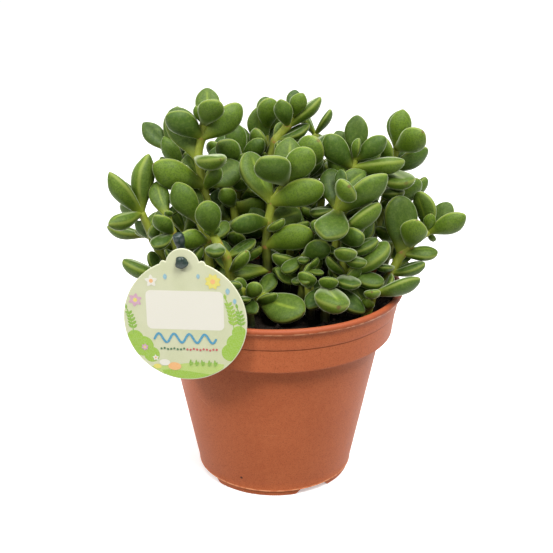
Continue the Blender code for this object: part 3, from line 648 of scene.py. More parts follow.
def stroke(points, width, ink):
    """A line of even width with round ends."""
    points = np.asarray(points, float)
    ways = np.gradient(points, axis=0)
    turns = np.arctan2(ways[:, 1], ways[:, 0])
    aside = 0.5 * width * np.stack((-np.sin(turns), np.cos(turns)), 1)
    first = arc(points[0], 0.5 * width, turns[0] + 0.5 * math.pi, turns[0] + 1.5 * math.pi, 9)
    last = arc(points[-1], 0.5 * width, turns[-1] - 0.5 * math.pi, turns[-1] + 0.5 * math.pi, 9)
    lay(np.vstack((first, (points - aside)[1:-1], last, (points + aside)[-2:0:-1])), ink)


def blossom(x, y, size, petals, ink, heart):
    for k in range(petals):
        petal(x, y, 360 * k / petals + 20, size, 0.62 * size, ink)
    disc(x, y, 0.3 * size, heart, 16)


def sprig(x, y, heading, length, pairs, ink, bow=14):
    """A stem, bowed by some degrees, with pairs of leaves and one at its tip."""
    t = np.linspace(0, 1, 9)
    a = np.radians(heading + bow * t)
    stem = np.stack((x + t * length * np.cos(a), y + t * length * np.sin(a)), 1)
    stroke(stem, 0.45, ink)
    size = length / (pairs + 1)
    for k in range(pairs):
        at = 0.2 + 0.72 * k / pairs
        px, py = np.interp(at, t, stem[:, 0]), np.interp(at, t, stem[:, 1])
        for side in (-1, 1):
            petal(px, py, heading + bow * at + side * 48, size * (1.55 - 0.6 * at), size * 0.62, ink)
    petal(*stem[-1], heading + 16, size * 1.2, size * 0.6, ink)

# %% The drawing
def hill(level, swing, waves, shift, ink):
    """Rising ground over the lower part of the disc."""
    right = math.asin((level + swing * math.sin(shift + waves)) / PRINT_RADIUS)
    left = math.pi - math.asin((level + swing * math.sin(shift - waves)) / PRINT_RADIUS)
    x = np.linspace(PRINT_RADIUS * math.cos(right), PRINT_RADIUS * math.cos(left), 31)
    crest = np.stack((x, level + swing * np.sin(shift + waves * x / PRINT_RADIUS)), 1)
    lay(np.vstack((crest, arc((0, 0), PRINT_RADIUS, left, 2 * math.pi + right, 61)[1:-1])), ink)


hill(-19.4, 1.2, 3.2, 0.6, "pale green")
hill(-22.6, 0.8, 4.5, 2.6, "green")
PANEL_SIZE, PANEL_MIDDLE, PANEL_CORNER = np.array((32.6, 16.8)), (0.2, 4.6), 2.2
quarter, panel = 0.5 * math.pi, []
for k, way in enumerate(((1, -1), (1, 1), (-1, 1), (-1, -1)), -1):
    middle = np.array(way) * (0.5 * PANEL_SIZE - PANEL_CORNER) + PANEL_MIDDLE
    panel.append(arc(middle, PANEL_CORNER, k * quarter, (k + 1) * quarter, 7))
lay(np.vstack(panel), "cream")
BUSHES = ((-21.6, -8.2, 3.6), (-18.2, -11.6, 4.4), (-22.6, -12.4, 4.0), (-14.8, -15.2, 3.4),
          (21.4, -9.4, 4.2), (18.8, -13.4, 3.8), (22.6, -4.6, 3.0))
for bush in BUSHES:
    disc(*bush, "green")
sprig(-22.2, -6.0, 88, 11, 5, "leaf green")
sprig(20.4, -4.0, 88, 14, 6, "green")
sprig(23.4, -3.0, 84, 9, 4, "leaf green")
for pebble in ((-9.4, -18.6, 2.3, "cream"), (-5.2, -20.2, 2.8, "orange"), (-12.6, -20.4, 1.7, "yellow")):
    disc(*pebble, squash=0.62)
blossom(-20.6, 8.6, 3.0, 6, "pink", "yellow")
blossom(-13.4, 17.0, 2.8, 5, "cream", "orange")
blossom(12.4, 17.2, 3.5, 8, "yellow", "orange")
blossom(-17.6, -12.0, 1.6, 6, "pink", "yellow")
blossom(-13.2, -16.6, 1.4, 5, "cream", "orange")
for x, y, size in ((18.4, 14.6, 2.8), (21.2, 10.2, 2.4), (-7.4, 20.2, 2.6), (6.4, 20.4, 2.2)):
    petal(x, y, -90, size, 0.62 * size, "pale blue")
WAVE_LEVEL, WAVE_SWING, WAVE_BENDS, WAVE_WIDTH = -7.6, 1.9, 0.97, 0.95
DOTS_LEVEL, DOT_RADIUS, DARK_DOTS, PLANTS_LEVEL = -12.4, 0.48, 8, -19.8
x = np.linspace(-13.2, 12.8, 105)
stroke(np.stack((x, WAVE_LEVEL + WAVE_SWING * np.sin(x * WAVE_BENDS)), 1), WAVE_WIDTH, "blue")
for k, x in enumerate(np.linspace(-10.5, 13.0, 18)):
    ink = "dark green" if k < DARK_DOTS else "red"
    disc(x, DOTS_LEVEL + 0.25 * math.sin(2 * k), DOT_RADIUS, ink, 12)
for k, x in enumerate(np.linspace(1.5, 12.0, 5)):
    for heading, length, width in ((84, 3.0, 1.0), (58, 2.4, 0.9)):
        petal(x, PLANTS_LEVEL, heading + 6 * (k % 3), length, width, "leaf green")
print(len(motifs), "pieces of ink")

# %% Print the inks
shapes, colours = [], []
for order, (outline, ink) in enumerate(motifs):
    place = on_tag(outline, half + FIRST_SHEET + SHEET_STEP * order)
    shapes.append((place, [list(range(len(place)))]))
    colours.append(np.tile(chart(*INKS[ink]), (len(place), 1)))
print_layer = make_object("tag_print", *merged(shapes), {"ink": np.vstack(colours)})
inks, shader, start = new_finish("printing_inks", Specular_IOR_Level=0.4)
tint = start.node("ShaderNodeAttribute", {"attribute_name": "ink"}, out="Color")
fibre = start.speckle(0.5, 3)
(fibre.rises(0.35, 0.65) * 0.14).between(tint, chart(222, 224, 192)).into(shader, "Base Color")
(0.44 + fibre * 0.08).into(shader, "Roughness")
print_layer.data.materials.append(inks)
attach(print_layer, "root")

# %% [markdown]
# ## The stake
# A bar of dark green plastic is pushed into the mix behind the card. It ends in a faceted knob over a
# short neck. A peg below the neck goes through the card's hole, and the peg's end was pressed flat into
# an uneven head so that the card can't slip off.

# %% Stake sizes
STAKE_TIP, STAKE_TOP = np.array((-25.6, -28.0, 50.0)), np.array((-40.0, -46.0, 131.0))
STAKE_RADIUS, PEG_RADIUS, HEAD_RADIUS, HEAD_THICKNESS = 2.6, 1.3, 2.9, 2.2
print("the stake is", round(float(np.linalg.norm(STAKE_TOP - STAKE_TIP)), 1), "mm long")

# %% Rings along a line
def swept(points, radii, sides, reference=(0.0, 1.0, 0.0), wobble=None):
    """Rings round a line of points. wobble(k, angle) may add to a ring's radius."""
    points = np.asarray(points, float)
    rings = []
    for k, point in enumerate(points):
        along = unit(points[min(k + 1, len(points) - 1)] - points[max(k - 1, 0)])
        across = unit(np.cross(reference, along))
        other = np.cross(along, across)
        angles = full_turn(sides)
        size = np.array([radii[k] + (wobble(k, a) if wobble else 0) for a in angles])
        ways = np.cos(angles)[:, None] * across + np.sin(angles)[:, None] * other
        rings.append(point + size[:, None] * ways)
    return rings

# %% Stake
def pressed_flat(k, angle):
    return 0.22 * math.sin(3 * angle + 0.8 * k) + 0.14 * math.sin(5 * angle + 2.1)


KNOB_FACETS, KNOB_FROM = 6, 9  # flat sides, and the first of its rings


def faceted(k, angle):
    """Turns the knob's rings into rounded hexagons, each a little larger on one side."""
    step = 2 * math.pi / KNOB_FACETS
    flat = math.cos(0.5 * step) / math.cos((angle + 0.3) % step - 0.5 * step)
    return (1.9 * (flat - 0.93) + 0.12 * math.sin(angle + 1)) if k >= KNOB_FROM else 0.0


# The bar's radius at shares of its length: a pointed foot, a slim neck from 0.9 on, and the knob.
shares = np.array((0, 0.02, 0.06, 0.12, 0.3, 0.6, 0.86, 0.9, 0.93, 0.938, 0.952, 0.972, 0.988, 0.997, 1.0))
radii = np.array((0.4, 0.8, 1.7, 2.5, 2.6, 2.5, 2.3, 2.1, 1.7, 1.9, 2.35, 2.55, 2.35, 1.8, 1.2))
bar = swept([STAKE_TIP + share * (STAKE_TOP - STAKE_TIP) for share in shares], radii, 36, wobble=faceted)
normal = tag_frame()[2]
hole = on_tag([(0.0, HOLE_CENTRE)], 0.0)[0]
behind = STAKE_TIP + (hole[2] - STAKE_TIP[2]) / (STAKE_TOP[2] - STAKE_TIP[2]) * (STAKE_TOP - STAKE_TIP)
front = half + 0.4
peg = swept([behind, hole + (front + 0.5) * normal], (PEG_RADIUS, PEG_RADIUS), 20, (0, 0, 1))
steps = ((0.0, 0.55), (0.04, 0.86), (0.3, 0.98), (0.6, 0.94), (0.82, 0.76), (0.94, 0.5), (1.0, 0.2))
head = swept([hole + (front + s * HEAD_THICKNESS) * normal for s, _ in steps],
             [HEAD_RADIUS * (r - 0.08) for _, r in steps], 22, (0, 0, 1), pressed_flat)
stake = make_object("stake_bar_and_peg", *merged([joined_rings(r) for r in (bar, peg, head)]), smooth=42)
green_plastic, shader, start = new_finish("green_plastic", Specular_IOR_Level=0.5)
mottle, grain = start.speckle(3, 3), start.speckle(0.6, 2)
colour = mottle.rises(0.35, 0.65).between(chart(14, 32, 27), chart(24, 46, 38))
(grain.rises(0.45, 0.7) * 0.3).between(colour, chart(58, 84, 74)).into(shader, "Base Color")
(0.3 + mottle * 0.12).into(shader, "Roughness")
roughen(start, shader, mottle * 0.7 + grain * 0.3, 0.12, 0.5)
stake = add_piece(stake, "tag_stake", "green_plastic", green_plastic)

# %% [markdown]
# ## The plant
# Crassula grows from cuttings that are stuck into the pot together, so the clump is many shoots: each a
# green stem with fleshy leaves in pairs. The shoots in front are described one by one, because each has
# its own way of leaning. The ones inside and behind follow the plant's rule: a pair of opposite leaves,
# then the next pair a quarter turn round. A scattered particle system would look even from afar, but not
# like this plant.

# %% The shoots
STEM_FOOT_RADIUS, STEM_TIP_RADIUS = 2.3, 1.8
LEAF_WIDTH, LEAF_THICKNESS = 0.58, 0.34  # of a leaf's length
UPPER_SHARE = 0.36  # of the thickness that lies above the margin
LEAF_CLEARANCE = 0.5

# Each shoot: the points of its stem, root first, then its leaves. A leaf is (stem point, heading, rise,
# length, roll). Heading runs from +X towards +Y and rise from the horizontal, both in degrees.
SHOOTS = {
    "left_tall": (
        ((-22, -3, 80), (-32, -6, 142), (-34, -6, 154), (-32, -6, 163), (-31, -6, 169)),
        ((1, -160, 20, 24, 60), (1, 50, 15, 23, 50), (2, -60, 5, 22), (2, 145, 55, 24, -40),
         (3, -155, 35, 19, 60), (3, 10, 35, 22, -60), (4, -65, 45, 18, -30),
         (4, 85, 45, 18, 10), (4, -120, 60, 9)),
    ),
    "left_back": (
        ((-28, 14, 80), (-43, 18, 142), (-49, 18, 152)),
        ((2, 125, 45, 18, -30), (2, 100, 35, 12), (1, -150, 65, 18, 60), (1, -65, 45, 12),
         (2, 55, 55, 20, 40), (1, -45, -5, 16)),
    ),
    "far_left": (
        ((-38, -12, 80), (-54, -14, 118), (-59, -14, 131)),
        ((2, -165, 65, 23, 20), (2, 105, 75, 25, 60), (2, 150, 50, 19, -35),
         (2, 125, -5, 19, -60), (2, -125, -5, 20), (1, 130, 20, 15, -40)),
    ),
    "left_mid": (
        ((-33, -20, 80), (-45, -20, 123), (-47, -20, 131)),
        ((2, 110, 45, 17), (1, -145, 55, 15, 60), (2, -80, 25, 7), (1, -115, -5, 15),
         (2, 65, 25, 9)),
    ),
    "left_inner": (
        ((-27, -26, 80), (-30, -18, 119), (-33, -18, 128)),
        ((2, -165, 60, 20, 60), (1, -130, 20, 17, 60),
         (2, 115, 35, 20, -20), (1, 65, 15, 15)),
    ),
    "left_front": (
        ((-16, -24, 80), (-21, -22, 113), (-25, -22, 119), (-27, -22, 123)),
        ((3, -115, 65, 18, 30), (2, -95, 0, 15), (3, -110, 35, 6), (3, -55, 25, 6),
         (1, 30, 20, 15)),
    ),
    "centre_front": (
        ((-4, -7, 80), (-3, -10, 103), (-4, -12, 115), (-3, -12, 126), (-1, -12, 135), (5, -12, 144)),
        ((1, -170, 10, 25), (2, -15, 15, 23, -60), (3, -145, 5, 19, 60),
         (3, 50, -10, 21, 60), (4, 140, 55, 25), (4, -10, 20, 24, -60), (5, -115, 45, 24, 30),
         (5, -50, 55, 20, -50), (5, 80, 45, 20, 10), (5, 110, 35, 10),
         (2, 145, -45, 14)),
    ),
    "front_tag": (
        ((-10, -34, 80), (-12, -32, 98), (-15, -34, 103)),
        ((1, -75, 35, 12, -40), (2, -110, 30, 11), (1, -85, 0, 9), (1, -85, -35, 11)),
    ),
    "back_left": (
        ((-12, 12, 80), (-17, 18, 133), (-16, 20, 147)),
        ((2, -105, 75, 17, 20), (2, 85, 55, 17, 10), (2, -25, 65, 15, -60), (1, -75, 20, 14),
         (1, 150, -5, 18), (2, -125, 45, 19, 50), (2, 155, 10, 16, -60), (1, -45, -10, 15)),
    ),
    "back_centre": (
        ((-5, 22, 80), (-6, 27, 143), (-5, 28, 151), (-4, 30, 160)),
        ((3, 125, 60, 17, -30), (3, -45, 75, 17, -40), (3, 20, 65, 16, 60),
         (2, 160, 65, 19, -60), (2, 80, 65, 18), (1, -20, 60, 20), (1, -80, 70, 10),
         (1, 160, 60, 17, -60), (2, 40, 15, 13, 60)),
    ),
    "centre_top": (
        ((-5, 6, 80), (-1, 10, 151), (0, 10, 158), (6, 10, 165), (8, 10, 169)),
        ((3, -80, 70, 15, -10), (4, 50, 50, 13, 40), (4, -55, 50, 13, -40), (3, 5, 45, 19, -10),
         (3, 50, -10, 8), (2, 5, 25, 17, -10), (2, 30, 25, 12, 60)),
    ),
    "centre_right_top": (
        ((9, 4, 80), (10, 8, 140), (10, 8, 147)),
        ((2, -55, 40, 22, -50), (2, 145, 65, 15, 20), (2, 55, 60, 15, 30), (1, 10, 40, 16, -20),
         (1, -80, 30, 14), (2, 20, 45, 21, -20), (1, -140, 35, 13)),
    ),
    "right_upper": (
        ((26, 1, 80), (34, 2, 139), (35, 0, 148), (36, 0, 152)),
        ((2, -155, 65, 20, 60), (2, 0, 35, 23, -30), (3, -35, 60, 17, -60), (3, 20, 70, 19, 60),
         (2, 40, 50, 21, 40), (3, 60, 50, 11, 20), (2, 100, 60, 18, -10),
         (3, -125, 60, 11, -50), (1, -160, 55, 17, 60), (1, 165, 45, 18, 20),
         (1, 10, 30, 16, -60), (1, -50, 55, 10)),
    ),
    "right_centre": (
        ((23, -14, 80), (28, -14, 120), (28, -14, 132), (29, -14, 140)),
        ((2, 0, 30, 26, -40), (2, 85, 50, 20), (3, -80, 20, 18, -60), (2, -95, -20, 24),
         (3, 35, 25, 15, 50), (1, 5, 30, 24, -20), (1, -50, 25, 17, -60), (1, 15, 0, 18, -60),
         (2, 150, -10, 14), (3, 65, 60, 10)),
    ),
    "right_low": (
        ((30, -24, 80), (31, -20, 104), (30, -20, 113)),
        ((2, -85, 20, 17), (2, -40, 0, 13), (1, -145, 45, 14), (2, 130, 20, 10),
         (1, -75, -5, 17), (1, -15, -5, 18), (2, 15, 20, 17), (1, 0, 25, 24), (2, 85, 35, 9)),
    ),
    "centre_mid": (
        ((12, -14, 80), (13, -16, 102), (13, -16, 111)),
        ((2, -25, 35, 17, -60), (2, -125, -15, 13), (1, -95, 0, 10), (1, -40, -30, 14),
         (2, -90, -5, 9), (2, 25, 55, 13)),
    ),
    "centre_small": (
        ((16, -27, 80), (15, -24, 108)),
        ((1, -45, 45, 8), (1, -40, -5, 8), (1, -100, -20, 11)),
    ),
    "front_right": (
        ((22, -30, 80), (23, -26, 101)),
        ((1, -85, -5, 14), (1, -125, -25, 15), (1, -80, -20, 24), (1, -35, -25, 20)),
    ),
    "right_out": (
        ((40, -10, 80), (53, -10, 101), (58, -8, 110), (61, -6, 113), (71, 0, 118)),
        ((2, 100, 70, 26), (2, -25, -5, 24, -10), (3, -85, 50, 20, -20), (1, 5, 25, 24, 10),
         (1, 35, 15, 13, 50), (1, -105, -20, 12, 60), (4, 35, 70, 19),
         (4, 20, 50, 16, 50), (4, -20, 40, 19, -60), (4, -75, 65, 10, -30), (4, 35, 40, 10, 40),
         (4, 45, -60, 7), (3, 75, 45, 14, 10)),
    ),
    "back_right": (
        ((38, 14, 80), (52, 18, 125), (54, 18, 143), (57, 18, 153)),
        ((2, -80, -5, 24), (2, 10, 25, 20, -60), (3, 70, 65, 18, 10), (3, -65, 65, 18, -40),
         (3, -55, 45, 20, -60), (1, 0, 35, 21, -60), (1, -75, 25, 12), (2, -140, 25, 14),
         (2, 110, 40, 14)),
    ),
    "left_low": (
        ((-36, -27, 80), (-49, -20, 103)),
        ((1, -155, 25, 21, 10), (1, 150, 60, 13), (1, -5, 35, 12)),
    ),
    "mid_back": (
        ((-15, 0, 80), (-18, 4, 121), (-19, 4, 129)),
        ((2, -115, 45, 14, 40), (2, 65, -10, 23, -60), (1, 130, 15, 19), (1, 60, -5, 18),
         (2, 90, 10, 18)),
    ),
    "front_low": (
        ((-9, -19, 80), (-7, -24, 95)),
        ((1, -35, -8, 25, 40), (1, -140, 25, 12), (1, 60, 30, 14)),
    ),
    "right_rim": (
        ((39, -25, 80), (44, -25, 97)),
        ((1, -5, 15, 21, -20), (1, -100, 20, 12), (1, 110, 30, 15)),
    ),
    "sprawling": (
        ((-37, 20, 80), (-40, 25, 96), (-54, 36, 101), (-66, 43, 103)),
        ((3, 180, 10, 19), (3, 60, 35, 15), (3, -60, 35, 14), (2, 140, 40, 17), (2, -40, 30, 15),
         (1, 100, 20, 16)),
    ),
}

# Shoots inside and at the back: root, top, leaf pairs, heading of the first pair, leaf length.
INNER_SHOOTS = {
    "back_1": ((-30, 22, 80), (-44, 28, 148), 4, 20, 20),
    "back_2": ((-22, 34, 80), (-28, 44, 140), 3, 70, 19),
    "back_3": ((-4, 38, 80), (-6, 48, 150), 4, 10, 19),
    "back_4": ((14, 36, 80), (20, 46, 154), 4, 75, 19),
    "back_5": ((30, 26, 80), (44, 38, 138), 4, 10, 18),
    "back_6": ((46, 8, 80), (64, 24, 126), 2, 60, 19),
    "back_7": ((8, 20, 80), (13, 27, 144), 3, 40, 18),
    "back_8": ((30, 34, 80), (44, 47, 118), 2, 0, 18),
    "back_9": ((-32, 32, 80), (-45, 46, 116), 2, 0, 18),
    "back_10": ((4, 46, 80), (8, 52, 110), 2, 0, 16),
    "inner_1": ((-23, 7, 80), (-29, 4, 124), 3, 60, 17),
    "inner_2": ((4, -4, 80), (8, -4, 118), 2, 10, 17),
    "inner_3": ((0, 13, 80), (2, 16, 126), 3, 20, 17),
    "inner_4": ((17, 12, 80), (22, 12, 130), 3, 50, 17),
    "inner_5": ((30, 10, 80), (38, 4, 120), 2, 80, 17),
    "inner_6": ((-32, 6, 80), (-42, 4, 116), 2, 70, 17),
    "inner_7": ((24, 22, 80), (30, 26, 116), 2, 0, 17),
    "inner_8": ((-14, 26, 80), (-18, 30, 118), 2, 45, 17),
}

# %% [markdown]
# A leaf's table row is turned into three directions: along the leaf, across it and out of its upper face.
# The shoots inside are worked out by the plant's own rule, and join the ones that were described.

# %% Rules for shoots and leaves
def paired_shoot(root, top, pairs, first, size):
    """Opposite leaves in crossed pairs up a straight stem, flatter low down and steeper near the top."""
    root, top = np.array(root, float), np.array(top, float)
    stem, leaves = [tuple(root)], []
    for k in range(pairs):
        share = (k + 1) / pairs
        stem.append(tuple(root + (top - root) * (0.3 + 0.7 * share)))
        for turn in (0, 180):
            leaves.append((k + 1, first + 90 * k + turn, 10 + 50 * share**2, size * (1 - 0.25 * share**2)))
    return tuple(stem), tuple(leaves)


def leaf_frame(heading, rise, roll=0.0):
    """Rows: along the leaf, across it, and out of its upper face."""
    h, r, q = map(math.radians, (heading, rise, roll))
    along = np.array((math.cos(r) * math.cos(h), math.cos(r) * math.sin(h), math.sin(r)))
    face = np.array((-math.sin(r) * math.cos(h), -math.sin(r) * math.sin(h), math.cos(r)))
    side = np.cross(face, along)
    turned_side = math.cos(q) * side + math.sin(q) * face
    turned_face = math.cos(q) * face - math.sin(q) * side
    return np.array((along, turned_side, turned_face))


shoots = dict(SHOOTS)
for name, rule in INNER_SHOOTS.items():
    shoots[name] = paired_shoot(*rule)
print(len(shoots), "shoots with", sum(len(leaves) for _, leaves in shoots.values()), "leaves")

# %% [markdown]
# Two leaves can't fill the same space. On the plant each one grew aside from its neighbours. Here every
# leaf is first thought of as an ellipsoid on its stem, and turned in small steps away from whatever it
# touches: other leaves, stems, the stake, the rim, the mix or the card. This is the same rule that placed
# the solids of the CAD model, so that each dressed leaf lands on its solid. A rigid-body simulation would
# also part them, but it would let them fall.

# %% Every leaf as an ellipsoid
MIDDLE_SHARE, HALF_SHARE = 0.53, 0.47  # of a leaf's length: where its ellipsoid's middle is, and its half
leaves_of, runs = [], []
for number, (stem, leaves) in enumerate(shoots.values()):
    stem = np.array(stem, float)
    for index, heading, rise, size, *roll in leaves:
        leaves_of.append((stem[index], leaf_frame(heading, rise, *roll), float(size), number))
    runs += [(a, b, number) for a, b in zip(stem[:-1], stem[1:])]
runs.append((STAKE_TIP, STAKE_TOP, -1))
foliage = SimpleNamespace()
foliage.base, foliage.frames, foliage.length, foliage.owner = map(np.array, zip(*leaves_of))
foliage.starts, foliage.ends, foliage.stem_owner = map(np.array, zip(*runs))


def solids(plant):
    width, thickness = LEAF_WIDTH * plant.length, LEAF_THICKNESS * plant.length
    half = np.stack((HALF_SHARE * plant.length, 0.5 * width, 0.5 * thickness), 1)
    drop = (0.5 - UPPER_SHARE) * thickness
    centre = plant.base + MIDDLE_SHARE * plant.length[:, None] * plant.frames[:, 0]
    centre = centre - drop[:, None] * plant.frames[:, 2]
    return centre, half


print("the longest leaf is", foliage.length.max(), "mm and the shortest", foliage.length.min())

# %% [markdown]
# A leaf is pushed wherever a point of its own ellipsoid lies inside a neighbour's. In the neighbour's
# frame, with each axis shrunk by that ellipsoid's half size, this is a plain test of distance from the
# middle, and the slope of the same formula is the shortest way out. All pairs are worked out at once with
# NumPy, because a loop over them would take minutes. Leaves of one pair may touch where they leave the
# stem.

# %% Pushes between leaves
BASE_SHARE = 0.42  # of a leaf's length: nearer to the stem than this, leaves of one shoot may touch
NEIGHBOUR, MOST_PUSH, LEAST_LEVER = 4.0, 2.0, 9.0  # mm, mm and mm squared


def twisted(lever, force):
    """The turn about a leaf's base that a force at the end of a lever asks for."""
    return np.cross(lever, force) / np.maximum((lever**2).sum(2), LEAST_LEVER)[..., None]


def push_from_leaves(plant, points, centre, half, free, moving):
    """How far each leaf turns away from the others, and how deep its deepest touch is."""
    count = len(plant.base)
    turn, worst = np.zeros((count, 3)), np.zeros(count)
    apart = np.linalg.norm(centre[:, None] - centre[None], axis=2)
    i, j = np.nonzero(apart < 0.5 * (plant.length[:, None] + plant.length[None]) + NEIGHBOUR)
    wanted = (i != j) & (moving[i] | moving[j])
    i, j = i[wanted], j[wanted]
    local = np.einsum("pkx,pjx->pkj", points[i] - centre[j][:, None], plant.frames[j])
    size = half[j][:, None] + LEAF_CLEARANCE
    scaled = local / size
    reach = np.linalg.norm(scaled, axis=2)
    slope = scaled / size
    steep = np.maximum(np.linalg.norm(slope, axis=2), 1e-6)
    depth = np.where(reach < 1, (1 - reach) * reach / steep, 0.0)
    from_base = np.linalg.norm(points[i] - plant.base[j][:, None], axis=2)
    near_other = from_base < BASE_SHARE * plant.length[j][:, None]
    siblings = (plant.owner[i] == plant.owner[j])[:, None]
    depth = np.where(siblings & (near_other | ~free[i]), 0.0, depth)
    outward = np.einsum("pkj,pjx->pkx", slope / steep[..., None], plant.frames[j])
    push = outward * np.minimum(depth, MOST_PUSH)[..., None]
    touches = (depth > 0).sum(1)
    hit = touches > 0
    for who, sign in ((i, 1.0), (j, -1.0)):
        twist = sign * twisted(points[i] - plant.base[who][:, None], push)
        np.add.at(turn, who[hit], 0.5 * (twist.sum(1) / np.maximum(touches, 1)[:, None])[hit])
        np.maximum.at(worst, who[hit], depth.max(1)[hit])
    return turn, worst

# %% [markdown]
# Everything else pushes as well, but doesn't give way. A stem or the stake is a line with a thickness,
# the mix and the rim are heights that a leaf must stay above, and the card is a disc that it must stay
# behind.

# %% Pushes from everything else
CARD_BACK, CARD_FRONT, RIM_REACH = 2.0, 6.0, 2.0


def push_from_rest(plant, points, free, moving):
    """The same for the stems, the stake, the pot's rim, the mix and the card."""
    flat = points.reshape(-1, 3)
    run = plant.ends - plant.starts
    share = np.clip(((flat[:, None] - plant.starts) * run).sum(2) / (run * run).sum(1), 0, 1)
    away = flat[:, None] - plant.starts - share[..., None] * run
    distance = np.maximum(np.linalg.norm(away, axis=2), 1e-6)
    reach = np.where(plant.stem_owner < 0, STAKE_RADIUS, STEM_FOOT_RADIUS) + LEAF_CLEARANCE
    depth = np.maximum(reach - distance, 0)
    own = np.repeat(plant.owner[moving], points.shape[1])[:, None] == plant.stem_owner
    depth = np.where(own & ~free.reshape(-1)[:, None], 0, depth)
    push = away / distance[..., None] * np.minimum(depth, MOST_PUSH)[..., None]
    force = push.sum(1).reshape(points.shape)
    touches = (depth > 0).sum(1).reshape(points.shape[:2]).sum(1)
    deepest = depth.max(1).reshape(points.shape[:2]).max(1)

    radius, z = np.hypot(points[..., 0], points[..., 1]), points[..., 2]
    over_rim = (radius > BODY_TOP_RADIUS + RIM_REACH) & (radius < LIP_RADIUS + RIM_REACH)
    floor = np.where(over_rim, POT_HEIGHT + 1.5, np.where(radius <= LIP_RADIUS, SOIL_TOP + 1.0, 0.0))
    lift = np.clip(floor - z, 0, MOST_PUSH)

    normal = tag_frame()[2]
    offset = points - np.array(TAG_CENTRE)
    level = offset @ normal
    spread = np.linalg.norm(offset - level[..., None] * normal, axis=2)
    inside = (spread < TAG_RADIUS + 1) & (level > -CARD_BACK) & (level < CARD_FRONT)
    back = np.where(inside, np.minimum(level + CARD_BACK, MOST_PUSH), 0.0)

    force[..., 2] += lift
    force -= back[..., None] * normal
    touches = touches + (lift > 0).sum(1) + (back > 0).sum(1)
    twist = twisted(points - plant.base[moving][:, None], force)
    worst = np.maximum(deepest, np.maximum(lift.max(1), back.max(1)))
    return twist.sum(1) / np.maximum(touches, 1)[:, None], worst

# %% [markdown]
# In each step every leaf turns a little about its base, as its pushes ask. A leaf that is still pressed
# after half of the steps also shrinks a little, just as a crowded leaf stays small.

# %% Make room between the leaves
PROBES, RELAX_STEPS, MOST_TURN = 32, 80, 0.08  # the last is radians in one step
TIGHT, SHRINK = 0.4, 0.985  # a leaf pressed deeper than this, in mm, shrinks by this


def sphere_points(count):
    i = np.arange(count) + 0.5
    z = 1 - 2 * i / count
    a = math.pi * (1 + math.sqrt(5)) * i
    r = np.sqrt(1 - z * z)
    return np.stack((z, r * np.cos(a), r * np.sin(a)), axis=1)


def relax(plant, moving=True, steps=RELAX_STEPS):
    """Turns leaves about their bases until they clear their neighbours, and shortens those that can't."""
    moving = np.broadcast_to(moving, len(plant.base))
    probes = sphere_points(PROBES)
    for step in range(steps):
        centre, half = solids(plant)
        points = centre[:, None] + np.einsum("nkx,nxj->nkj", probes[None] * half[:, None], plant.frames)
        free = np.linalg.norm(points - plant.base[:, None], axis=2) >= BASE_SHARE * plant.length[:, None]
        turn, worst = push_from_leaves(plant, points, centre, half, free, moving)
        more, worst_rest = np.zeros_like(turn), np.zeros_like(worst)
        more[moving], worst_rest[moving] = push_from_rest(plant, points[moving], free[moving], moving)
        turn = (turn + more) * moving[:, None]
        angle = np.linalg.norm(turn, axis=1)
        for k in np.nonzero(angle > 1e-5)[0]:
            step_angle = min(angle[k], MOST_TURN)
            axis = turn[k] / angle[k]
            rows = plant.frames[k]
            swung = np.cross(axis, rows) * math.sin(step_angle)
            swept_round = np.outer(rows @ axis, axis) * (1 - math.cos(step_angle))
            plant.frames[k] = rows * math.cos(step_angle) + swung + swept_round
        if step > steps // 2:
            tight = moving & (np.maximum(worst, worst_rest) > TIGHT)
            plant.length = np.where(tight, SHRINK * plant.length, plant.length)
    return np.maximum(worst, worst_rest)


left = relax(foliage)
print("leaves still touching:", int((left > 0.35).sum()), "of", len(left))

# %% [markdown]
# The solids carry the leaves that give the plant its outline. A real clump is denser inside, so more
# pairs of smaller leaves now fill the bare stretches of stem. The leaves that are already placed stay
# still, and only the new ones give way, so that the outline keeps to the solids.

# %% Fill the clump
LOWEST, HIGHEST, FILLER_LENGTH = 0.35, 0.93, (12, 18)  # shares of a stem's length, and mm


def walked(line):
    """How far along a line each of its points is."""
    return np.concatenate(([0.0], np.cumsum(np.linalg.norm(np.diff(line, axis=0), axis=1))))


def filler_pairs(name):
    if name.startswith("back"):
        return 4
    return 3 if name.startswith("inner") else 1


def add_fillers(plant, rng):
    """More leaf pairs along the bare stretches of each stem. Answers with which leaves are new."""
    base, frames, length, owner = [], [], [], []
    for number, (name, (stem, _)) in enumerate(shoots.items()):
        stem, count = np.array(stem, float), filler_pairs(name)
        walk = walked(stem)
        first, last = walk[-1] * LOWEST, walk[-1] * HIGHEST
        for k in range(count):
            at = first + (last - first) * (k + 0.5 + rng.uniform(-0.2, 0.2)) / count
            place = [np.interp(at, walk, stem[:, axis]) for axis in range(3)]
            heading = rng.uniform(0, 360)
            for turn in (0, 180):
                base.append(place)
                frames.append(leaf_frame(heading + turn, rng.uniform(20, 60), rng.uniform(-30, 30)))
                length.append(rng.uniform(*FILLER_LENGTH))
                owner.append(number)
    old = len(plant.base)
    plant.base = np.vstack((plant.base, base))
    plant.frames = np.concatenate((plant.frames, frames))
    plant.length = np.append(plant.length, length)
    plant.owner = np.append(plant.owner, owner)
    return np.arange(len(plant.base)) >= old


new = add_fillers(foliage, np.random.default_rng(7))
left = relax(foliage, new, RELAX_STEPS // 2)
print(int(new.sum()), "filling leaves; still touching:", int((left > 0.35).sum()))

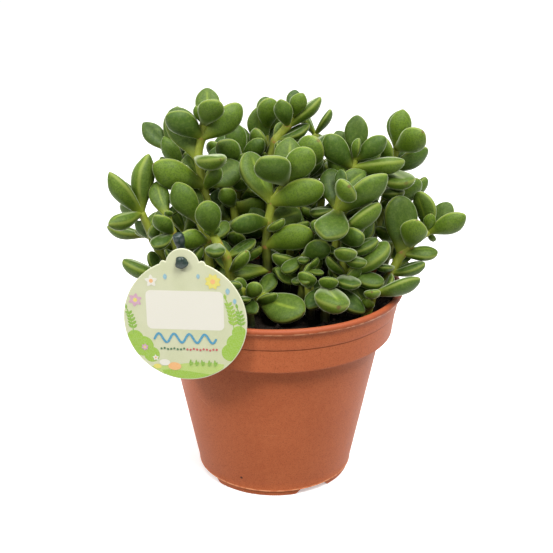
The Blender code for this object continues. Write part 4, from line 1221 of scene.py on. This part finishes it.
# %% [markdown]
# ## One leaf
# A leaf is a water store: a narrow neck, a broad round end with a blunt point, a nearly flat upper face
# and a full lower one. Where the two faces meet, a fine ridge runs all the way round. It is drawn as a
# ring that follows the midrib. Each ring is two half ovals, and they bend, twist and swell a little
# differently on each leaf. A subdivided box gives the same lump, but then nothing knows where the ridge
# is, and the ridge is what the paint needs: each point keeps its distance from it along the skin, and how
# far out it is towards the tip.

# %% The outline of a leaf
STATIONS, LEAF_SIDES = 21, 24
WIDEST, NECK, CREASE = 0.62, 0.32, 0.22  # where a leaf is widest, how wide its neck is, how deep its crease
FULL_LENGTH, FAR_OFF = 22.0, 9.0  # distances for the paint are those on a leaf of full length
even = np.linspace(0, 1, STATIONS)
LEAF_SHARES = np.where(even < 0.5, 2 * WIDEST * even, WIDEST + (1 - WIDEST) * np.sin(math.pi * (even - 0.5)))
LEAF_SHARES[-1] = 0.9995
AROUND = full_turn(LEAF_SIDES)


def leaf_width(t, point=0.0):
    """Half width along an obovate leaf as a share of its greatest, from its neck at 0 to its tip at 1."""
    if t < WIDEST:
        return NECK + (1 - NECK) * math.sin(0.5 * math.pi * t / WIDEST) ** 1.5
    u = (t - WIDEST) / (1 - WIDEST)
    return (1 - point) * math.sqrt(max(0.0, 1 - u**2.1)) + point * (1 - u**2) ** 0.8


print("half way along, a leaf is", round(leaf_width(0.5), 2), "as wide as at its widest")

# %% Leaf skin
def leaf_skin(base, frame, length, rng, slender=0.0):
    """Points, faces and paint values of one leaf, in millimetres."""
    along, side, face = frame
    bend, twist, hollow = rng.uniform(-0.03, 0.07), rng.uniform(-0.25, 0.25), rng.uniform(0.0, 0.5)
    lopsided, tone = rng.uniform(-0.05, 0.05), rng.random()
    point, broad, plump = rng.uniform(0, 0.8) ** 1.5, rng.uniform(0.98, 1.12), rng.uniform(0.95, 1.2)
    point, broad = max(point, slender), broad * (1 - 0.28 * slender)
    widths = np.array([leaf_width(share, point) for share in LEAF_SHARES])[:, None]
    width = 0.5 * LEAF_WIDTH * broad * length * widths
    thick = LEAF_THICKNESS * plump * length * widths**0.8
    t = LEAF_SHARES[:, None]
    across, up = np.cos(AROUND)[None], np.sin(AROUND)[None]
    crease = CREASE * (np.abs(across) < 0.1) * np.minimum(1, 4 * t) * (1 - t**4)
    upper = UPPER_SHARE * thick * np.abs(up) ** 1.15
    upper = upper * (1 - hollow * up**6 * np.minimum(1, 3 * t) * (1 - t**6) - crease)
    lower = -(1 - UPPER_SHARE) * thick * np.abs(up) ** 1.1
    out = np.where(up > 0, upper, lower)
    x = width * across + lopsided * length * np.sin(math.pi * t)
    z = out + bend * length * t**2
    angle = twist * t
    flat_x, flat_z = x * np.cos(angle) - z * np.sin(angle), x * np.sin(angle) + z * np.cos(angle)
    reach = length * t * (1 + (0.008 + 0.03 * point) * np.maximum(0, t - 0.9) / 0.1)
    rings = base + reach[..., None] * along + flat_x[..., None] * side + flat_z[..., None] * face
    points, faces = joined_rings(rings)

    section = np.stack((x, z), -1)
    runs = np.linalg.norm(np.diff(section, axis=1, append=section[:, :1]), axis=2)
    far = np.concatenate((np.zeros((STATIONS, 1)), np.cumsum(runs, axis=1)), axis=1)
    half = far[:, [LEAF_SIDES // 2]]
    whole = far[:, [-1]]
    far = far[:, :-1]
    from_ridge = np.minimum(np.minimum(far, np.abs(far - half)), whole - far) * np.where(up >= 0, 1, -1)
    grown = FULL_LENGTH / length
    from_midrib = np.where(up > 0, width * np.abs(across) * grown, FAR_OFF)
    values = {
        "ridge": np.append(from_ridge * grown, (0, 0)),
        "face": np.append(np.broadcast_to(up, rings.shape[:2]), (0, 0)),
        "midrib": np.append(from_midrib, (FAR_OFF, FAR_OFF)),
        "along": np.append(np.broadcast_to(t, rings.shape[:2]), (0, 1)),
        "tone": np.full(len(points), tone),
    }
    return points, faces, values

# %% [markdown]
# ## One stem
# The stem is a green rod that thins upwards. It is a little swollen wherever a pair of leaves sits, with
# a fine scar round it, and a young stem never bends sharply, so the corners of its line are rounded
# first.

# %% Stem skin
STEM_SIDES, STEM_STEP, ROUNDING = 16, 0.8, 6
SWELLING, SCAR = (0.42, 1.7), (-0.16, 0.5)  # at each pair of leaves: how far out and along the stem, in mm


def stem_line(stem):
    """The stem's points with rounded corners, evenly spaced, and the place of each leaf pair along it."""
    stem = np.asarray(stem, float)
    stem = np.vstack((stem[:-1], stem[-1] + 1.2 * unit(stem[-1] - stem[-2])))
    joints = walked(stem)
    walk = np.linspace(0, joints[-1], int(joints[-1] / STEM_STEP) + 2)
    line = np.stack([np.interp(walk, joints, stem[:, k]) for k in range(3)], 1)
    for _ in range(ROUNDING):
        line[1:-1] = 0.5 * line[1:-1] + 0.25 * (line[:-2] + line[2:])
    return line, walk, joints[1:]


def stem_skin(stem, rng):
    """Points, faces and paint values of one stem, in millimetres."""
    line, walk, joints = stem_line(stem)
    radii = STEM_FOOT_RADIUS + (STEM_TIP_RADIUS - STEM_FOOT_RADIUS) * walk / walk[-1]
    nearest = np.abs(walk[:, None] - joints[None]).min(1)
    for out, reach in (SWELLING, SCAR):
        radii = radii + out * np.exp(-((nearest / reach) ** 2))
    radii[-3:] *= (0.92, 0.72, 0.3)
    phase = rng.uniform(0, 6.28, 3)

    def uneven(k, angle):
        oval = 0.07 * math.sin(2 * angle + phase[0] + 0.13 * k)
        return oval + 0.05 * math.sin(3 * angle + phase[1] - 0.21 * k)

    points, faces = joined_rings(swept(line, radii, STEM_SIDES, wobble=uneven))
    values = {
        "joint": np.append(np.repeat(np.exp(-((nearest / 1.1) ** 2)), STEM_SIDES), (0, 0)),
        "along": np.append(np.repeat(walk / walk[-1], STEM_SIDES), (0, 1)),
        "tone": np.full(len(points), rng.random()),
    }
    return points, faces, values


sample = leaf_skin(np.zeros(3), np.eye(3), 20.0, np.random.default_rng(1))
print("one leaf:", len(sample[1]), "faces;", np.round(np.ptp(sample[0], axis=0), 1), "mm")

# %% [markdown]
# ## Leaf skin paint
# The leaf is green flesh under a dull, faintly downy skin. Its upper face is a clear yellow-green and its
# lower one yellower, since light shines through it. It pales to yellow at the neck, where it was shaded
# by its pair, and along the ridge. On the ridge a fine pale line is painted, a painted sheen for the down
# that catches light at the rim. Some leaves show a pale line down the crease of the upper face, over the
# midrib. The down is sheen: it catches light where the skin turns edge-on. The shader's own sheen does
# most of that, and Layer Weight, which knows how edge-on a skin is, paints the rim paler as well. A little
# light passes into the flesh, which is the subsurface share. A few leaves end in a rusty tip.

# %% Leaf paint
succulent, shader, start = new_finish("succulent_leaf", Specular_IOR_Level=0.3, Sheen_Weight=0.6,
                                      Sheen_Roughness=0.18, Sheen_Tint=chart(232, 242, 196),
                                      Subsurface_Weight=0.08, Subsurface_Scale=0.002,
                                      Subsurface_Radius=(0.5, 1.0, 0.25))
names = ("ridge", "face", "midrib", "along", "tone")
ridge, face, midrib, along, tone = (start.value(name) for name in names)
cloud, mottle, grain = start.speckle(7, 2), start.speckle(1.6, 3), start.speckle(0.7, 2)
upper = (tone * 0.6 + cloud * 0.4).rises(0.1, 0.9).between(chart(48, 74, 14), chart(80, 103, 25))
lower = (tone * 0.6 + cloud * 0.4).rises(0.1, 0.9).between(chart(60, 88, 12), chart(94, 120, 22))
colour = face.rises(-0.1, 0.15).between(lower, upper)
colour = (mottle.rises(0.4, 0.72) * 0.32).between(colour, chart(110, 129, 58))
colour = ((1 - grain.rises(0.38, 0.55)) * 0.4).between(colour, chart(38, 62, 12))
near = 1 - abs(ridge).rises(0.2, 1.6)
colour = (near * 0.24).between(colour, chart(128, 146, 32))
inner = (1 - midrib.rises(0.2, 2.2)) * along.rises(0.1, 0.35) * (1 - along.rises(0.8, 0.97))
colour = (inner * 0.15 * tone.rises(0.4, 0.8)).between(colour, chart(118, 146, 34))
vein = (1 - midrib.rises(0.1, 0.9)) * along.rises(0.2, 0.5) * (1 - along.rises(0.75, 0.95))
colour = (vein * 0.34 * tone.rises(0.5, 0.9)).between(colour, chart(160, 176, 62))
neck = 1 - along.rises(0.02, 0.34)
colour = (neck * 0.7).between(colour, chart(138, 150, 44))
# Painted sheen: a fine pale line along the ridge, standing for the down that catches light at the rim.
line = (1 - abs(ridge).rises(0.15, 1.1)) * along.rises(0.1, 0.4)
colour = (line * 0.28).between(colour, chart(166, 174, 90))
rust = along.rises(0.993, 0.999) * tone.rises(0.7, 0.8)
colour = (rust * 0.7).between(colour, chart(96, 60, 36))
down = start.node("ShaderNodeLayerWeight", None, {"Blend": 0.5}, "Facing").rises(0.56, 1.0)
colour = (down * 0.8).between(colour, chart(196, 206, 170))
colour.into(shader, "Base Color")
(0.48 + mottle * 0.1 + grain * 0.08).into(shader, "Roughness")
roughen(start, shader, grain * 0.5 + mottle * 0.5, 0.06, 0.5)

# %% [markdown]
# The stems are smoother and yellower than the leaves. Towards the mix they are older and browner, and
# they are painted nearly black there, partly as painted shade under the leaves. Where a pair of leaves
# has left its scar the skin is touched with brick red.

# %% Stem paint
green_stem, shader, start = new_finish("green_stem", Specular_IOR_Level=0.3, Sheen_Weight=0.2,
                                       Sheen_Roughness=0.2, Sheen_Tint=chart(236, 242, 222),
                                       Subsurface_Weight=0.06, Subsurface_Scale=0.002,
                                       Subsurface_Radius=(0.6, 1.0, 0.25))
joint, along, tone = (start.value(name) for name in ("joint", "along", "tone"))
mottle, streak = start.speckle(1.5, 3), start.speckle(1.2, 3, stretch=(1, 1, 0.2))
# Darker towards the mix: partly older, browner stem and partly painted shade under the leaves.
colour = (along * 0.85 + tone * 0.15).rises(0.25, 0.75).between(chart(30, 36, 18), chart(142, 152, 50))
colour = (streak.rises(0.4, 0.7) * along.rises(0.2, 0.6) * 0.4).between(colour, chart(152, 164, 70))
colour = (mottle.rises(0.5, 0.75) * 0.25).between(colour, chart(84, 98, 32))
scar = joint.rises(0.35, 0.95) * mottle.rises(0.34, 0.6)
colour = (scar * 0.6).between(colour, chart(176, 104, 70))
colour.into(shader, "Base Color")
(0.44 + mottle * 0.12).into(shader, "Roughness")
roughen(start, shader, streak, 0.08, 0.5)

# %% [markdown]
# Each shoot is one piece, stem and leaves together, because they are one growth and stand for one solid
# of the CAD model. A face of the mesh says by its material number whether it is leaf or stem. The outer
# shoots that get the most light have narrower leaves with sharper tips.

# %% Grow the shoots
VALUES = ("ridge", "face", "midrib", "along", "tone", "joint")
SLENDER = {"far_left": 1.0, "left_back": 0.6, "left_mid": 0.3, "right_upper": 0.3}  # narrow, pointed leaves


def grow(name, stem, leaves, rng):
    """One shoot as a mesh object, leaves first."""
    slender = SLENDER.get(name, 0.0)
    skins = [leaf_skin(foliage.base[k], foliage.frames[k], foliage.length[k], rng, slender) for k in leaves]
    skins.append(stem_skin(stem, rng))
    values = {key: np.concatenate([s[2].get(key, np.zeros(len(s[0]))) for s in skins]) for key in VALUES}
    made = make_object("foliage_" + name, *merged([s[:2] for s in skins]), values, smooth=60)
    kinds = np.concatenate([np.full(len(s[1]), int(k == len(skins) - 1)) for k, s in enumerate(skins)])
    made.data.polygons.foreach_set("material_index", kinds.astype(np.int32))
    return made


worst = 0.0
for number, (name, (stem, _)) in enumerate(shoots.items()):
    mine = np.nonzero(foliage.owner == number)[0]
    shoot = grow(name, stem, mine, np.random.default_rng(100 + number))
    kinds = np.zeros(len(shoot.data.polygons), np.int32)
    shoot.data.polygons.foreach_get("material_index", kinds)
    add_piece(shoot, "shoot_" + name, "succulent_leaf", succulent, green_stem)
    shoot.data.polygons.foreach_set("material_index", kinds)
    tips = foliage.base[mine] + foliage.length[mine, None] * foliage.frames[mine, 0]
    low, high = np.array(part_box("shoot_" + name)) / MM
    worst = max(worst, (tips - high).max(), (low - tips).max())
print("the furthest that a leaf's tip lies outside its solid's box:", round(worst, 2), "mm")

# %% [markdown]
# ## The studio
# The plant stands on a pale floor, as on a light table, with a white wall behind it. A broad lamp hangs
# overhead and a stronger one high in front, so that the band throws a soft shadow on the body. A small
# lamp on the left throws the card's shadow on the pot. The wall, here the world's light, is what gives
# leaves and pot their pale edges, because every skin mirrors more at a slant. The room on the camera's
# side is dimmer, and the floor sends no light up into the leaves, so that their undersides and the gaps
# between them stay deep. A white curtain hangs far off all round. It only closes the view above the
# floor's far edge: it neither lights the plant nor shades it. The lens is long enough that the pot
# doesn't look stretched.

# %% Floor and lamps
PLANT_MIDDLE = (0, 0, 0.1)  # in metres, as lamps and cameras are placed


def soft_lamp(name, place, size, power):
    """A round lamp, in metres and watts, that looks at the plant."""
    lamp = bpy.data.lights.new(name, "AREA")
    lamp.shape, lamp.size, lamp.energy = "DISK", size, power
    made = bpy.data.objects.new(name, lamp)
    made.location = place
    made.rotation_euler = (Vector(PLANT_MIDDLE) - Vector(place)).to_track_quat("-Z", "Y").to_euler()
    bpy.context.scene.collection.objects.link(made)


FLOOR = 20000.0  # half its side
corners = [(-FLOOR, -FLOOR, 0), (FLOOR, -FLOOR, 0), (FLOOR, FLOOR, 0), (-FLOOR, FLOOR, 0)]
floor = make_object("floor", corners, [(0, 1, 2, 3)])
pale, shader, start = new_finish("pale_floor", Base_Color=(0.9, 0.9, 0.9, 1), Roughness=0.9,
                                 Specular_IOR_Level=0.1, Emission_Color=(1, 1, 1, 1), Emission_Strength=0.4)
floor.data.materials.append(pale)
floor.visible_diffuse = False
floor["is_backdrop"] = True

CURTAIN_RADIUS, CURTAIN_HEIGHT = 8000.0, 9000.0
loop = arc((0, 0), CURTAIN_RADIUS, 0, 2 * math.pi, 65)[:-1]
rings = [[(x, y, z) for x, y in loop] for z in (-10.0, CURTAIN_HEIGHT)]
curtain = make_object("curtain", *joined_rings(rings, close_first=False))
white, shader, start = new_finish("white_curtain", Base_Color=(0, 0, 0, 1), Specular_IOR_Level=0.0,
                                  Emission_Color=(1, 1, 1, 1), Emission_Strength=1.0)
curtain.data.materials.append(white)
for ray in ("diffuse", "glossy", "transmission", "volume_scatter", "shadow"):
    setattr(curtain, "visible_" + ray, False)
curtain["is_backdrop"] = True

soft_lamp("lamp_overhead", (0.1, 0.0, 1.1), 0.8, 8.0)
soft_lamp("lamp_front", (0.42, -0.75, 1.3), 0.6, 17.5)
soft_lamp("lamp_left", (-0.6, -0.55, 0.75), 0.2, 4.6)

world = bpy.data.worlds.new("white_room")
world.use_nodes = True
bpy.context.scene.world = world
back = world.node_tree.nodes["Background"]
start = Wire(world.node_tree)
way = start.node("ShaderNodeTexCoord", out="Generated")
height, depth, aside = (start.node("ShaderNodeSeparateXYZ", None, {0: way}, axis) for axis in "ZYX")
wall = (depth + aside * 0.1).rises(-0.35, 0.35).between((0.42, 0.42, 0.42, 1), (1.05, 1.05, 1.05, 1))
height.rises(-0.25, 0.05).between((0.34, 0.34, 0.34, 1), wall).into(back, "Color")
back.inputs["Strength"].default_value = 0.9
bpy.context.scene.view_settings.view_transform = "Standard"

# %% Camera
lens = bpy.data.cameras.new("camera")
lens.lens, lens.sensor_width, lens.shift_x = 62.0, 36.0, 0.0033
camera = bpy.data.objects.new("camera", lens)
camera.location = (0.0, -0.420, 0.247)
camera.rotation_euler = (math.radians(70.2), 0.0, 0.0)
bpy.context.scene.collection.objects.link(camera)
bpy.context.scene.camera = camera

# %% [markdown]
# The dressed model must fill the same box as the CAD model, so its box is worked out at the end.

# %% Sizes, and the end
bpy.context.view_layer.update()
low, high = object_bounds()
